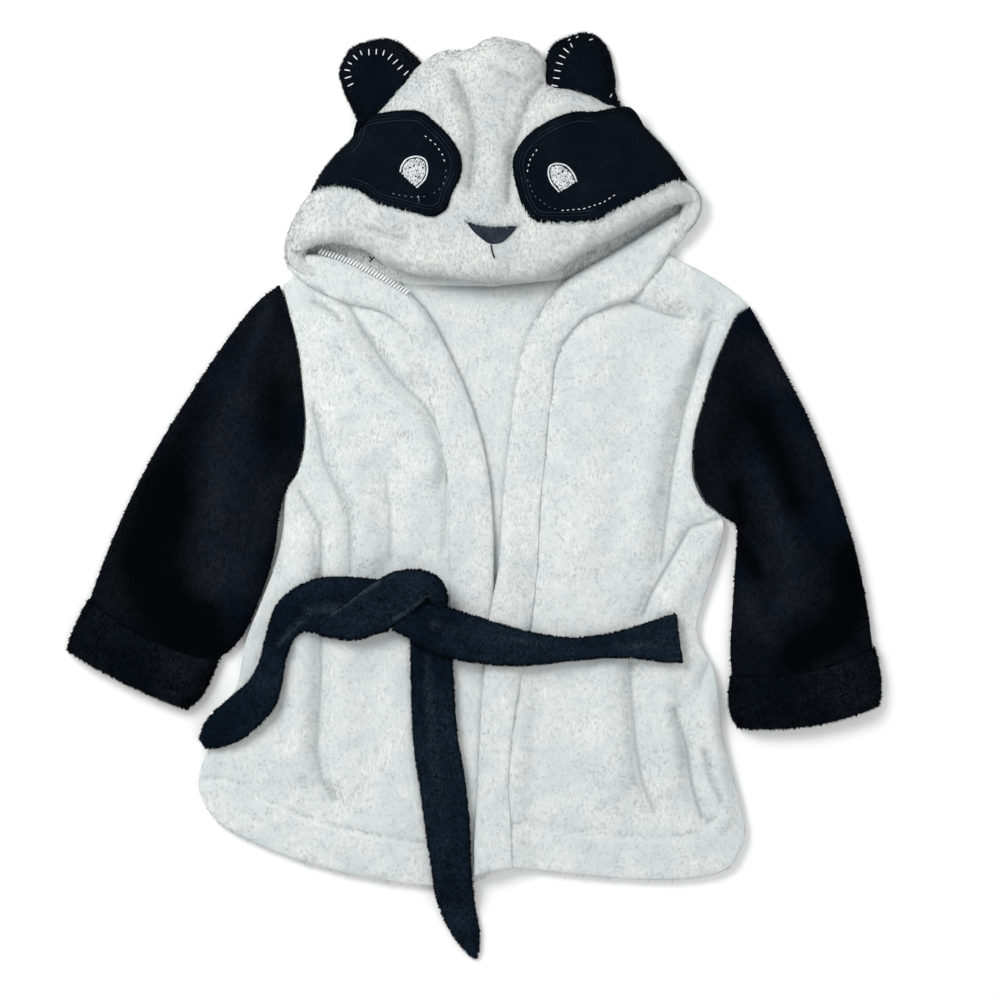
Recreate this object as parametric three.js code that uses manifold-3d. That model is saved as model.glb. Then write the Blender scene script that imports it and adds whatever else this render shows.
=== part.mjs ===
import * as THREE from "three";
import { mergeVertices } from "three/addons/utils/BufferGeometryUtils.js";
import Module from "manifold-3d";

// A toddler's hooded bathrobe with a panda's face, laid flat on its back with the front up.
// Millimetres. +X is the viewer's right, +Y runs from hem to hood, +Z is up from the floor.
// Left and right in names are the viewer's. The origin is on the floor under the middle of the robe.

// Cloth thickness, pile included
const bodyCloth = 4.2;
const backCloth = 3.5;
const bandCloth = 4.8;
const hoodCloth = 3.4;
const plushCloth = 4.6;
const cuffCloth = 5.8;
const patchCloth = 2.0;
const innerEarCloth = 1.4;
const feltCloth = 1.2;
const threadFill = 0.8;

// Gaps between pieces
const seamGap = 0.4;
const armholeGap = 1.1;
const appliedGap = 0.7;

// Heights above the floor
const seatHeight = backCloth + seamGap;
const edgeHeight = 1.8;
const overlapLift = bandCloth + 0.5;
const mostHollow = 3.2;
const hoodHeight = 24;
const brimRise = 4;
const brimRoll = 8;
const mouthDrop = 9;
const lipDrop = 6;
const sleeveEdgeHeight = 4.4;
const earHeight = 11;
const earEdgeHeight = 3;
const edgeFold = 0.6;
const leastHollow = 0.2;
const cutterHeight = 60;
const cutterFloor = -1;

// How far in from an edge the cloth turns over
const hemTurn = 9;
const sideTurn = 8;
const bandSeamTurn = 7;
const crownTurn = 34;
const brimTurn = 16;
const sleeveTurn = 15;
const undersideTurn = 6;
const mouthTurn = 13;

// The curve of that turn, and how far along it a sewn edge of a front or a band already is
const turnPower = 0.6;
const sewnFront = 2;
const sewnBand = 1;

// Bevel of the flat pieces, and how much of a front's folds its underside follows
const flatBevel = 1;
const hollowShare = 0.6;

// The right front rises over the left one from one height down, and from its free edge's side in
const lapTop = -18;
const lapTopReach = 26;
const lapSide = 46;
const lapSideReach = 24;

// The dent that a stitched seam draws in the pile
const seamDip = 1.2;
const seamDipWidth = 5;

// Towards the neck the band rolls fuller, from one height on the robe to another
const bandRoll = 3.4;
const rollStart = 60;
const rollFull = 140;

// Grid steps
const frontSteps = 18;
const bandSteps = 5;
const hoodSteps = 13;
const sleeveSteps = 13;
const outlineSteps = 2;
const earRings = [1, 0.94, 0.8, 0.55, 0.25];
const earTurnShare = 0.55;

// How far a grid's steps are drawn to its edges, from 0 for even ones to 1
const frontCrowding = 0.55;
const bandCrowding = 0.8;
const hoodCrowding = 0.7;
const sleeveCrowding = 0.75;

// Usual distance from one section of a front to the next
const rowStep = 12;

const whiteFleece = new THREE.MeshStandardMaterial({ color: 0xe6e9e8, roughness: 0.95 });
const blackPlush = new THREE.MeshStandardMaterial({ color: 0x0d1219, roughness: 0.9 });
const blackVelour = new THREE.MeshStandardMaterial({ color: 0x080c14, roughness: 0.8 });
const slateFelt = new THREE.MeshStandardMaterial({ color: 0x3a3f47, roughness: 0.95 });
const silverThread = new THREE.MeshStandardMaterial({ color: 0xd9dde0, roughness: 0.5 });

// Sections of the left front, from shoulder to hem. A section runs from the side seam to the
// band seam and on to the free edge. The band starts at the hood's corner, two rows earlier.
const leftSections = [
  // side x, side y, seam x, seam y, edge x, edge y
  [null, null, -133, 170, -120, 169.5],
  [null, null, -131, 162, -106, 169.5],
  [-134, 148, -125, 155, -93, 166],
  [-132, 139, -111, 145, -80, 161],
  [-129, 127, -90, 136, -64, 153],
  [-125, 112, -70, 131, -46, 143],
  [-122, 96, -53, 122, -32, 128],
  [-120, 76, -41, 103, -19, 104],
  [-118, 55, -34, 79, -8, 80],
  [-119, 34, -27, 55, 1, 55],
  [-124, 16, -21, 30, 8, 28],
  [-132, 3, -17, 2, 12, 0],
  [-134, -24, -17, -32, 14, -32],
  [-140, -50, -17, -66, 14, -66],
  [-150, -76, -16, -100, 14, -100],
  [-160, -102, -15, -134, 13, -134],
  [-166, -132, -15, -168, 13, -168],
  [-178, -152, -15, -196, 12, -196],
  [-188, -181, -15, -220, 12, -220],
  [-193, -197, -15, -240, 11, -240],
  [-192, -208, -15, -256, 11, -256],
  [-188, -218, -15, -267, 11, -264],
  [-180, -228, -15, -274, 11, -270],
];
const rightSections = [
  // side x, side y, seam x, seam y, edge x, edge y
  [null, null, 158, 206, 152, 203.5],
  [null, null, 155, 196, 141, 197],
  [null, null, 146, 181, 127, 189],
  [191, 132, 135, 169, 113, 180],
  [184, 127, 127, 155, 97, 170],
  [180, 119, 112, 140, 81, 161],
  [176, 110, 94, 133, 66, 152],
  [171, 98, 76, 124, 53, 139],
  [165, 82, 63, 110, 42, 122],
  [160, 64, 56, 92, 33, 100],
  [155, 46, 54, 70, 29, 76],
  [153, 30, 51, 48, 26, 50],
  [154, 12, 49, 22, 23, 24],
  [162, -5, 46, -4, 20, -4],
  [174, -16, 45, -32, 18.5, -32],
  [174, -30, 44, -52, 17, -52],
  [169, -48, 42, -72, 13, -72],
  [161, -72, 38, -98, 9, -98],
  [156, -92, 34, -120, 7, -122],
  [161, -108, 30, -142, 5, -146],
  [168, -121, 27, -162, 4, -168],
  [172, -143, 25, -184, 3, -190],
  [174, -166, 24, -204, 2, -210],
  [180, -190, 25, -224, 1, -229],
  [187, -217, 26, -240, 0, -244],
  [190, -237, 26, -252, 0, -257],
  [183, -252, 27, -260, -0.5, -266],
];
// The hem hangs below the straight line of the last section, and the right shoulder rises over that
// of the first. Each is given by the most that it bows, where along the section it does so, and how
// many sections take part of it.
const leftHem = { bow: 12, peak: 0.45, reach: 4 };
const rightHem = { bow: 15, peak: 0.25, reach: 4 };
const leftShoulder = { bow: 0, peak: 0.5, reach: 3 };
const rightShoulder = { bow: 5.5, peak: 0.32, reach: 3 };
// Rows of the tables where the shoulder and the underarm are
const leftArm = { shoulder: 2, underarm: 11 };
const rightArm = { shoulder: 3, underarm: 14 };

// Folds as ridges (rise above 0) and creases (below 0), each with its half width and path.
const leftFolds = [
  { rise: -2.4, width: 7, path: [[-92, 130], [-67, 91], [-41, 71], [-26, 48]] },
  { rise: 3.2, width: 12, path: [[-100, 112], [-80, 76], [-54, 52], [-36, 30]] },
  { rise: -2.2, width: 6, path: [[-112, 70], [-106, 30], [-92, 1], [-87, -48]] },
  { rise: 2.8, width: 13, path: [[-98, 50], [-84, 10], [-72, -40]] },
  { rise: -2.5, width: 6, path: [[-127, 4], [-108, -17], [-108, -101], [-107, -195], [-93, -221]] },
  { rise: 3.2, width: 12, path: [[-124, -40], [-124, -110], [-124, -190]] },
  { rise: 2.2, width: 13, path: [[-92, -84], [-92, -196]] },
  { rise: 1.5, width: 22, path: [[-52, -120], [-50, -230]] },
];
const rightFolds = [
  { rise: -2.2, width: 7, path: [[109, 137], [134, 128], [147, 125]] },
  { rise: 2.8, width: 11, path: [[126, 150], [158, 138]] },
  { rise: -2.3, width: 6, path: [[166, 122], [147, 60], [139, 20], [131, -45]] },
  { rise: 3.0, width: 12, path: [[150, 104], [130, 56], [122, 18], [114, -34]] },
  { rise: 1.8, width: 15, path: [[84, 100], [78, 40], [76, -40]] },
  { rise: -2.6, width: 6, path: [[174, -14], [151, -22], [134, -48], [124, -69]] },
  { rise: 2.4, width: 9, path: [[164, -34], [148, -56], [140, -76]] },
  { rise: -2.2, width: 6, path: [[108, -115], [115, -193], [120, -217]] },
  { rise: 2.6, width: 12, path: [[92, -124], [97, -205]] },
  { rise: -2.6, width: 6, path: [[141, -154], [153, -186], [163, -232]] },
  { rise: 2.8, width: 10, path: [[134, -130], [138, -200]] },
  { rise: 2.6, width: 9, path: [[163, -150], [172, -196], [176, -222]] },
];

// Sections of the hood's face from its left corner round the crown to its right corner. A section
// runs from the crown seam to the lip of the brim.
const hoodSections = [
  // crown x, crown y, lip x, lip y
  [-133, 171.5, -119.5, 171.5],
  [-131, 183, -108, 176],
  [-125, 197, -97, 177],
  [-116, 211, -86, 175],
  [-105, 231, -74, 171],
  [-87.5, 249.5, -64, 163],
  [-72, 266, -52, 158],
  [-55, 285, -38, 154],
  [-38, 302, -24, 152.5],
  [-22, 312, -11, 150.5],
  [-4, 313, 1, 149],
  [10, 321, 12, 148.5],
  [24, 320.5, 23, 148.5],
  [39, 316, 34, 149.5],
  [49.5, 305.5, 44, 151],
  [51, 288, 53, 154],
  [67, 286.5, 63, 158],
  [85, 281, 74, 163],
  [104, 269, 87, 169],
  [122, 257, 99, 174],
  [137, 241, 111, 180],
  [148, 225, 125, 189],
  [155, 214, 140, 199],
  [158.5, 208, 152.5, 205.5],
];
const hoodFolds = [
  { rise: -2.4, width: 7, path: [[-15, 298], [-4, 272], [1, 248], [-3, 214]] },
  { rise: 2.2, width: 10, path: [[8, 296], [13, 250], [11, 205]] },
  { rise: -1.8, width: 7, path: [[33, 262], [24, 236], [24, 206]] },
  { rise: -3.0, width: 6, path: [[48, 290], [38, 276], [36, 268]] },
  { rise: 2.0, width: 14, path: [[-46, 268], [-28, 284]] },
  { rise: 2.4, width: 16, path: [[10, 190], [12, 174]] },
  { rise: -1.6, width: 8, path: [[-72, 186], [-46, 178]] },
];
const neckSeam = [[-125, 155.5], [-52, 148], [11, 147], [74, 153], [135, 168.5]];
const rightCorner = [[146, 181], [155, 196]];
const leftCorner = [[-131.5, 163]];

// Sections of a sleeve from armhole to cuff. Each runs from the outer edge to the underarm edge.
const leftSleeve = {
  sections: [
    // outer x, outer y, inner x, inner y, bow, height
    [-136.5, 148, -136, -1.5, 0, 8.6],
    [-152, 136, -137, -11, 0, 10.5],
    [-170, 114, -138, -22, 0, 12],
    [-188, 88, -140, -38, 0, 13],
    [-205, 62, -145, -57, 1, 13],
    [-221, 36, -152, -76, 2, 13],
    [-236, 8, -159.5, -93, 3, 13],
    [-250, -22, -168, -105, 4, 12.6],
    [-262, -52, -175.5, -111, 6, 12.2],
    [-269, -72, -180.5, -115, 7, 11.8],
  ],
  cuff: [
    [-270.6, -71.8, -179.4, -116.1, 7, 14.5],
    [-277, -85, -184, -127, 5, 15.5],
    [-282.6, -97, -191, -140, 3, 15],
    [-285.6, -107.5, -201, -149.5, 2.5, 13.5],
  ],
  folds: [
    { rise: -1.6, width: 9, path: [[-146, 60], [-176, 20], [-214, -34]] },
    { rise: 1.8, width: 13, path: [[-150, 20], [-186, -30], [-226, -72]] },
    { rise: 1.6, width: 12, path: [[-168, 84], [-206, 24], [-240, -40]] },
  ],
};
const rightSleeve = {
  sections: [
    // outer x, outer y, inner x, inner y, bow, height
    [193.5, 133, 177, -16, 0, 8.6],
    [205, 112, 184, -20, 0, 10.5],
    [219, 85, 185, -28, 0, 12],
    [233, 58, 184, -40, 0, 13],
    [246, 27, 183, -54, 0, 13],
    [257, -4, 182, -68, 1, 13],
    [267, -36, 181, -84, 3, 13],
    [274, -68, 180, -100, 5, 12.6],
    [278, -94, 180, -114, 7, 12.2],
    [279.5, -106, 181, -125, 8, 11.8],
  ],
  cuff: [
    [281.1, -106.2, 179.6, -125.8, 8, 14.5],
    [285, -123, 178.5, -139, 8, 15.5],
    [285.6, -137, 179.5, -152, 7, 15],
    [284, -146.5, 184.5, -162, 6.5, 13.5],
  ],
  folds: [
    { rise: -2.0, width: 8, path: [[180, 10], [196, -18], [207, -41]] },
    { rise: 2.0, width: 12, path: [[196, 26], [216, -14], [224, -40]] },
    { rise: -2.0, width: 8, path: [[184, -56], [188, -88], [201, -114]] },
    { rise: -1.6, width: 8, path: [[239, -43], [248, -66], [241, -88], [224, -94]] },
    { rise: 1.8, width: 11, path: [[214, -62], [222, -78]] },
  ],
};

// Outlines of what is sewn on the hood
const earLeft = [
  [-60, 262], [-76, 256], [-85, 271], [-94, 293], [-92, 305], [-85, 315], [-69, 320], [-57, 320],
  [-46, 313], [-37, 301], [-44, 280],
];
const earRight = [
  [74, 270], [50, 280], [48, 290], [50, 305], [56, 317], [70, 323.6], [80, 324.8], [88, 321],
  [95, 311], [99, 292], [99, 282], [103, 272], [96, 262],
];
const innerEarLeft = [
  [-56, 272], [-72, 266], [-82, 278], [-89, 294], [-86, 304], [-79, 310], [-70, 311], [-60, 309],
  [-51, 300], [-43, 288],
];
const innerEarRight = [
  [76, 276], [57, 280], [57, 292], [60, 305], [66, 314], [78, 317], [87, 314], [91, 304],
  [94, 288], [96, 274],
];
const patchLeft = [
  [-80, 264], [-62, 268], [-39, 268], [-27, 260], [-16, 249], [-9, 236], [-9, 224], [-15, 211],
  [-19, 200], [-27, 195], [-36, 195.5], [-55, 200], [-69, 204], [-78, 211], [-92, 215], [-104, 215],
  [-119, 210], [-112, 232], [-98, 252],
];
const patchRight = [
  [108, 272], [84, 268], [72, 268], [58, 264], [42, 255], [32, 245], [27, 233], [29, 218],
  [34, 202], [42, 192], [54, 190], [70, 190], [86, 192], [102, 201], [118, 209], [134, 217],
  [143, 220], [156, 219], [146, 240], [130, 257],
];
const glintLeft = [
  [-51, 225], [-48, 231], [-41, 236], [-35, 234.5], [-32, 229], [-33.5, 221], [-39, 214],
];
const glintRight = [[52, 229], [53, 218], [59, 211], [72, 218], [67, 227], [59, 231]];
const noseOutline = [[-6, 192], [10, 188], [30, 188], [26, 179], [16, 175], [8, 175.5], [0, 183]];

// The tie belt, each stretch a folded strap. A row is a section across it.
const beltLeft = [
  // x, y, width, underside, thickness
  [-60, -77, 36, 10.2, 7],
  [-74, -77, 40, 10.6, 7.2],
  [-90, -77.5, 43, 11.2, 7.4],
  [-106, -77, 41, 11.8, 7.4],
  [-119, -79.5, 34, 12, 7.4],
  [-128, -85, 28, 12, 7.6],
  [-134, -94, 22, 12, 8],
  [-138, -105, 19, 12, 8.4],
  [-141, -117, 19, 12, 8.4],
  [-145, -130, 23, 12, 8],
  [-151, -141, 27, 12, 7.6],
  [-161, -151, 29, 11, 7.4],
  [-172, -160, 28, 10, 7.2],
  [-182, -167, 22, 8.8, 6.6],
  [-190, -173, 10, 7.8, 5],
];
const beltRight = [
  // x, y, width, underside, thickness
  [-57, -91, 7, 17.4, 5],
  [-50, -88.5, 20, 17.4, 6.6],
  [-40, -89, 28, 17.4, 7.6],
  [-22, -94, 34, 17.4, 8],
  [-4, -99, 33, 16.8, 8],
  [14, -103, 30, 15.4, 8],
  [32, -106, 26, 14, 8.2],
  [50, -107, 21, 11.6, 8.6],
  [68, -107, 17, 11, 9],
  [90, -105, 17, 11.4, 9],
  [108, -103, 21, 11.6, 8.6],
  [122, -101.5, 27, 11.6, 8],
  [133, -100.5, 32, 11.2, 7.6],
  [143, -98, 35, 10.8, 7],
];
const beltTail = [
  // x, y, width, underside, thickness
  [-30, -80, 28, 9.8, 7],
  [-30, -104, 30, 9.6, 7.2],
  [-29, -135, 31, 9.8, 7.2],
  [-27, -170, 32, 10, 7.2],
  [-22.5, -198, 33, 10, 7.2],
  [-18.5, -232, 32, 9.8, 7.2],
  [-16, -258, 29, 9.8, 7.2],
  [-14.5, -272, 28, 8.8, 7.2],
  [-13, -281, 27, 5, 7.4],
  [-11, -290, 25, 1, 7.6],
  [-8.5, -298, 23, 0, 7.4],
  [-4.5, -308, 19, 0, 7],
  [-1.5, -317.5, 12, 0, 6],
  [0.5, -324, 5, 0, 4],
];
// The strand that goes over the others and makes the knot
const beltKnot = [
  // x, y, width, underside, thickness
  [-108, -91, 13, 12, 8],
  [-98, -90, 20, 12, 9.5],
  [-84, -87, 28, 11.5, 12],
  [-67, -78, 33, 10.5, 15.5],
  [-51, -68, 33, 10, 20],
  [-39, -63.5, 26, 9.6, 22],
  [-30.5, -64, 20, 9.6, 21],
  [-26, -69, 16, 9.6, 19],
  [-25, -77, 14, 9.6, 15.5],
];
// Corner of a strap's section, as shares of half its width and of its thickness
const strapSection = [
  [-0.86, 0], [0.86, 0], [1, 0.3], [1, 0.62], [0.86, 0.9], [0.45, 1],
  [-0.45, 1], [-0.86, 0.9], [-1, 0.62], [-1, 0.3],
];

const wasm = await Module();
wasm.setup();

const clamp = THREE.MathUtils.clamp;
const lerp = THREE.MathUtils.lerp;

// 0 to 1 with smaller steps near both ends
function easedStep(step, steps, share) {
  const even = step / steps;
  return lerp(even, 0.5 - 0.5 * Math.cos(Math.PI * even), share);
}

// Height share of cloth that turns over its edge: 0 at the edge, 1 once it lies level
function turned(distance, reach) {
  const away = 1 - clamp(distance / reach, 0, 1);
  return Math.pow(1 - away * away, turnPower);
}

function distanceToPath(x, y, path) {
  let nearest = Infinity;
  for (let i = 1; i < path.length; i += 1) {
    const [ax, ay] = path[i - 1];
    const [bx, by] = path[i];
    const length2 = (bx - ax) ** 2 + (by - ay) ** 2;
    const t = clamp(((x - ax) * (bx - ax) + (y - ay) * (by - ay)) / length2, 0, 1);
    nearest = Math.min(nearest, Math.hypot(x - lerp(ax, bx, t), y - lerp(ay, by, t)));
  }
  return nearest;
}

function foldRelief(x, y, folds) {
  return folds.reduce((sum, fold) => {
    const away = distanceToPath(x, y, fold.path) / fold.width;
    return sum + fold.rise * Math.exp(-away * away);
  }, 0);
}

// One closed body from vertices [x, y, z] and triangles, with its faces turned outwards
function bodyFrom(vertices, triangles) {
  const volume = triangles.reduce((sum, [a, b, c]) => {
    const [p, q, r] = [vertices[a], vertices[b], vertices[c]].map((v) => new THREE.Vector3(...v));
    return sum + p.dot(q.cross(r));
  }, 0);
  const faces = volume < 0 ? triangles.map(([a, b, c]) => [a, c, b]) : triangles;
  const geometry = new THREE.BufferGeometry();
  geometry.setAttribute("position", new THREE.Float32BufferAttribute(vertices.flat(), 3));
  geometry.setIndex(faces.flat());
  geometry.computeVertexNormals();
  return geometry;
}

// A wall of cloth on a grid: at(i, j) gives x, y, top and bottom
function wall(columns, rows, at) {
  const vertices = [];
  const lower = (columns + 1) * (rows + 1);
  const points = [];
  for (let j = 0; j <= rows; j += 1) {
    for (let i = 0; i <= columns; i += 1) points.push(at(i, j));
  }
  points.forEach((p) => vertices.push([p.x, p.y, p.top]));
  points.forEach((p) => vertices.push([p.x, p.y, p.bottom]));
  const index = (i, j) => j * (columns + 1) + i;
  const triangles = [];
  for (let j = 0; j < rows; j += 1) {
    for (let i = 0; i < columns; i += 1) {
      const [a, b, c, d] = [index(i, j), index(i + 1, j), index(i + 1, j + 1), index(i, j + 1)];
      triangles.push([a, b, c], [a, c, d]);
      triangles.push([lower + a, lower + c, lower + b], [lower + a, lower + d, lower + c]);
    }
  }
  const rim = [];
  for (let i = 0; i < columns; i += 1) rim.push(index(i, 0));
  for (let j = 0; j < rows; j += 1) rim.push(index(columns, j));
  for (let i = columns; i > 0; i -= 1) rim.push(index(i, rows));
  for (let j = rows; j > 0; j -= 1) rim.push(index(0, j));
  rim.forEach((a, k) => {
    const b = rim[(k + 1) % rim.length];
    triangles.push([b, a, lower + a], [b, lower + a, lower + b]);
  });
  return bodyFrom(vertices, triangles);
}

// A closed body through equal loops of points, solid, or hollow when inner loops are given
function loft(loops, innerLoops) {
  const count = loops[0].length;
  const last = loops.length - 1;
  const vertices = [...loops.flat(), ...(innerLoops ? innerLoops.flat() : [])];
  const inner = loops.length * count;
  const triangles = [];
  for (let s = 0; s < last; s += 1) {
    for (let k = 0; k < count; k += 1) {
      const a = s * count + k;
      const b = s * count + ((k + 1) % count);
      triangles.push([a, b, b + count], [a, b + count, a + count]);
      if (innerLoops) {
        triangles.push([inner + a, inner + b + count, inner + b]);
        triangles.push([inner + a, inner + a + count, inner + b + count]);
      }
    }
  }
  const end = last * count;
  for (let k = 0; k < count; k += 1) {
    const n = (k + 1) % count;
    if (innerLoops) {
      triangles.push([k, inner + k, inner + n], [k, inner + n, n]);
      triangles.push([end + k, inner + end + n, inner + end + k]);
      triangles.push([end + k, end + n, inner + end + n]);
    } else if (k > 1) {
      triangles.push([0, k, k - 1], [end, end + k - 1, end + k]);
    }
  }
  return bodyFrom(vertices, triangles);
}

function solidFrom(geometry) {
  const plain = geometry.clone();
  plain.deleteAttribute("normal");
  plain.deleteAttribute("uv");
  const merged = mergeVertices(plain, 1e-4);
  return new wasm.Manifold(
    new wasm.Mesh({
      numProp: 3,
      vertProperties: merged.attributes.position.array,
      triVerts: new Uint32Array(merged.index.array),
    }),
  );
}

function geometryFrom(solid) {
  const mesh = solid.getMesh();
  const geometry = new THREE.BufferGeometry();
  geometry.setAttribute("position", new THREE.BufferAttribute(mesh.vertProperties, 3));
  geometry.setIndex(new THREE.BufferAttribute(mesh.triVerts, 1));
  geometry.computeVertexNormals();
  return geometry;
}

// The body of a solid that holds the most cloth
function largestBody(solid) {
  return solid.decompose().reduce((most, body) => (body.volume() > most.volume() ? body : most));
}

// A flat piece with a small bevel, lying between two heights
function flatPiece(outline, low, high, bevel) {
  const shape = new THREE.Shape(outline.map(([x, y]) => new THREE.Vector2(x, y)));
  const geometry = new THREE.ExtrudeGeometry(shape, {
    depth: high - low - 2 * bevel,
    bevelEnabled: bevel > 0,
    bevelThickness: bevel,
    bevelSize: bevel,
    bevelOffset: -bevel,
    bevelSegments: 1,
  });
  return geometry.translate(0, 0, low + bevel);
}

// An outline through its corner points, rounded, with a number of steps for each point
function rounded(outline, steps) {
  const points = outline.map(([x, y]) => new THREE.Vector3(x, y, 0));
  const curve = new THREE.CatmullRomCurve3(points, true);
  return curve.getPoints(outline.length * steps).slice(0, -1).map((p) => [p.x, p.y]);
}

// An outline moved outwards by a distance, for one that runs clockwise
function grown(outline, distance) {
  const count = outline.length;
  return outline.map(([x, y], i) => {
    const [px, py] = outline[(i + count - 1) % count];
    const [nx, ny] = outline[(i + 1) % count];
    const run = Math.hypot(nx - px, ny - py);
    return [x - ((ny - py) / run) * distance, y + ((nx - px) / run) * distance];
  });
}

// How far an edge bows out from its section at a share of the way across, a few rows from its end
function edgeBow(edge, share, rowsAway) {
  const near = clamp(1 - rowsAway / edge.reach, 0, 1);
  const bent = Math.pow(share, Math.log(0.5) / Math.log(edge.peak));
  return edge.bow * near * near * 4 * bent * (1 - bent);
}

// Lift of the right front where it lies over the left one
function lapLift(x, y) {
  const along = clamp((lapTop - y) / lapTopReach, 0, 1);
  const across = clamp((lapSide - x) / lapSideReach, 0, 1);
  const smooth = across * across * (3 - 2 * across);
  return overlapLift * along * smooth;
}

// A section's seam point, moved towards the free edge by a distance
function besideSeam([, , seamX, seamY, edgeX, edgeY], distance) {
  const width = Math.hypot(edgeX - seamX, edgeY - seamY);
  return [
    seamX + ((edgeX - seamX) / width) * distance,
    seamY + ((edgeY - seamY) / width) * distance,
  ];
}

// One front between side seam and band seam
function frontBody(sections, hem, shoulder, folds, firstRow, lift) {
  const rows = sections.length - 1 - firstRow;
  return wall(frontSteps, rows, (i, j) => {
    const [sideX, sideY] = sections[firstRow + j];
    const [seamX, seamY] = besideSeam(sections[firstRow + j], -seamGap / 2);
    const share = easedStep(i, frontSteps, frontCrowding);
    const x = lerp(sideX, seamX, share);
    const bow = edgeBow(shoulder, share, j) - edgeBow(hem, share, rows - j);
    const y = lerp(sideY, seamY, share) + bow;
    const across = Math.hypot(sideX - seamX, sideY - seamY);
    const fromHem = (rows - j) * rowStep;
    const fromShoulder = j * rowStep;
    const edge = Math.min(
      turned(share * across, Math.min(sideTurn, across / 2)),
      turned(fromHem, hemTurn),
      turned(fromShoulder + sewnFront, sideTurn),
    );
    const fromSeam = (1 - share) * across;
    const dip = seamDip * Math.exp(-((fromSeam / seamDipWidth) ** 2));
    const relief = foldRelief(x, y, folds);
    const bottom = seatHeight + lift(x, y) + clamp(hollowShare * relief, 0, mostHollow) * edge;
    const top = seatHeight + lift(x, y) + lerp(edgeHeight, bodyCloth + relief - dip, edge);
    return { x, y, top: Math.max(top, bottom + edgeHeight), bottom };
  });
}

// The doubled band along a front edge, from the hood's corner to the hem
function frontBand(sections, lift) {
  const rows = sections.length - 1;
  return wall(bandSteps, rows, (i, j) => {
    const [, , , , edgeX, edgeY] = sections[j];
    const [seamX, seamY] = besideSeam(sections[j], seamGap / 2);
    const share = easedStep(i, bandSteps, bandCrowding);
    const x = lerp(seamX, edgeX, share);
    const y = lerp(seamY, edgeY, share);
    const width = Math.hypot(edgeX - seamX, edgeY - seamY);
    const round = Math.min(
      turned(share * width + sewnBand, bandSeamTurn),
      turned((1 - share) * width, hemTurn),
    );
    const ends = turned((rows - j) * rowStep, hemTurn);
    const roll = bandRoll * clamp((y - rollStart) / (rollFull - rollStart), 0, 1);
    const bottom = seatHeight + lift(x, y);
    return { x, y, top: bottom + lerp(edgeHeight, bandCloth + roll, round * ends), bottom };
  });
}

const crownSeam = hoodSections.map(([x, y]) => [x, y]);
const lipLine = hoodSections.map(([, , x, y]) => [x, y]);

// Top and underside of the hood's face at a place
function hoodSurface(x, y) {
  const sewn = turned(distanceToPath(x, y, crownSeam), crownTurn);
  const fromLip = distanceToPath(x, y, lipLine);
  const brim = Math.exp(-(((fromLip - brimTurn) / brimTurn) ** 2));
  const lip = 1 - turned(fromLip, brimRoll);
  const rise = hoodHeight + brimRise * brim - lipDrop * lip + foldRelief(x, y, hoodFolds);
  const mouth = mouthDrop * Math.exp(-((fromLip / mouthTurn) ** 2));
  const hollow = hoodHeight - hoodCloth - mouth;
  const rimTop = seatHeight + hoodCloth;
  return {
    top: lerp(rimTop, rise, sewn),
    bottom: lerp(seatHeight, Math.min(hollow, rise - hoodCloth), sewn),
  };
}

// A layer that follows the hood's face: lift 0 is the face itself
function hoodLayer(lift, cloth) {
  return wall(hoodSections.length - 1, hoodSteps, (i, j) => {
    const [crownX, crownY, lipX, lipY] = hoodSections[i];
    const share = easedStep(j, hoodSteps, hoodCrowding);
    const x = lerp(crownX, lipX, share);
    const y = lerp(crownY, lipY, share);
    const { top, bottom } = hoodSurface(x, y);
    return lift > 0 ? { x, y, top: top + lift + cloth, bottom: top + lift } : { x, y, top, bottom };
  });
}

// A piece sewn on the hood's face, cut from a layer over it by its outline
function applied(outline, lift, cloth) {
  const cutter = flatPiece(rounded(outline, outlineSteps), 0, cutterHeight, 0);
  const layer = solidFrom(hoodLayer(lift, cloth));
  return geometryFrom(largestBody(layer.intersect(solidFrom(cutter))));
}

// A padded ear or a layer over it: rings of its outline shrink to its middle
function earPad(outline, lift, cloth) {
  const rim = rounded(outline, outlineSteps);
  const middleX = rim.reduce((sum, [x]) => sum + x, 0) / rim.length;
  const middleY = rim.reduce((sum, [, y]) => sum + y, 0) / rim.length;
  const heightAt = (share) => lerp(earEdgeHeight, earHeight, turned(1 - share, earTurnShare));
  const vertices = [];
  const low = (share) => (lift > 0 ? heightAt(share) + lift : 0);
  const high = (share) => (lift > 0 ? heightAt(share) + lift + cloth : heightAt(share));
  earRings.forEach((share) => rim.forEach(([x, y]) => {
    vertices.push([lerp(middleX, x, share), lerp(middleY, y, share), high(share)]);
  }));
  const under = vertices.length;
  earRings.forEach((share) => rim.forEach(([x, y]) => {
    vertices.push([lerp(middleX, x, share), lerp(middleY, y, share), low(share)]);
  }));
  const topMiddle = vertices.length;
  vertices.push([middleX, middleY, high(0)], [middleX, middleY, low(0)]);
  const triangles = [];
  const count = rim.length;
  earRings.forEach((_, r) => {
    for (let k = 0; k < count; k += 1) {
      const [a, b] = [r * count + k, r * count + ((k + 1) % count)];
      if (r === earRings.length - 1) {
        triangles.push([a, b, topMiddle], [under + b, under + a, topMiddle + 1]);
      } else {
        triangles.push([a, b, b + count], [a, b + count, a + count]);
        triangles.push([under + a, under + b + count, under + b]);
        triangles.push([under + a, under + a + count, under + b + count]);
      }
      if (r === 0) triangles.push([b, a, under + a], [b, under + a, under + b]);
    }
  });
  return bodyFrom(vertices, triangles);
}

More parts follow.
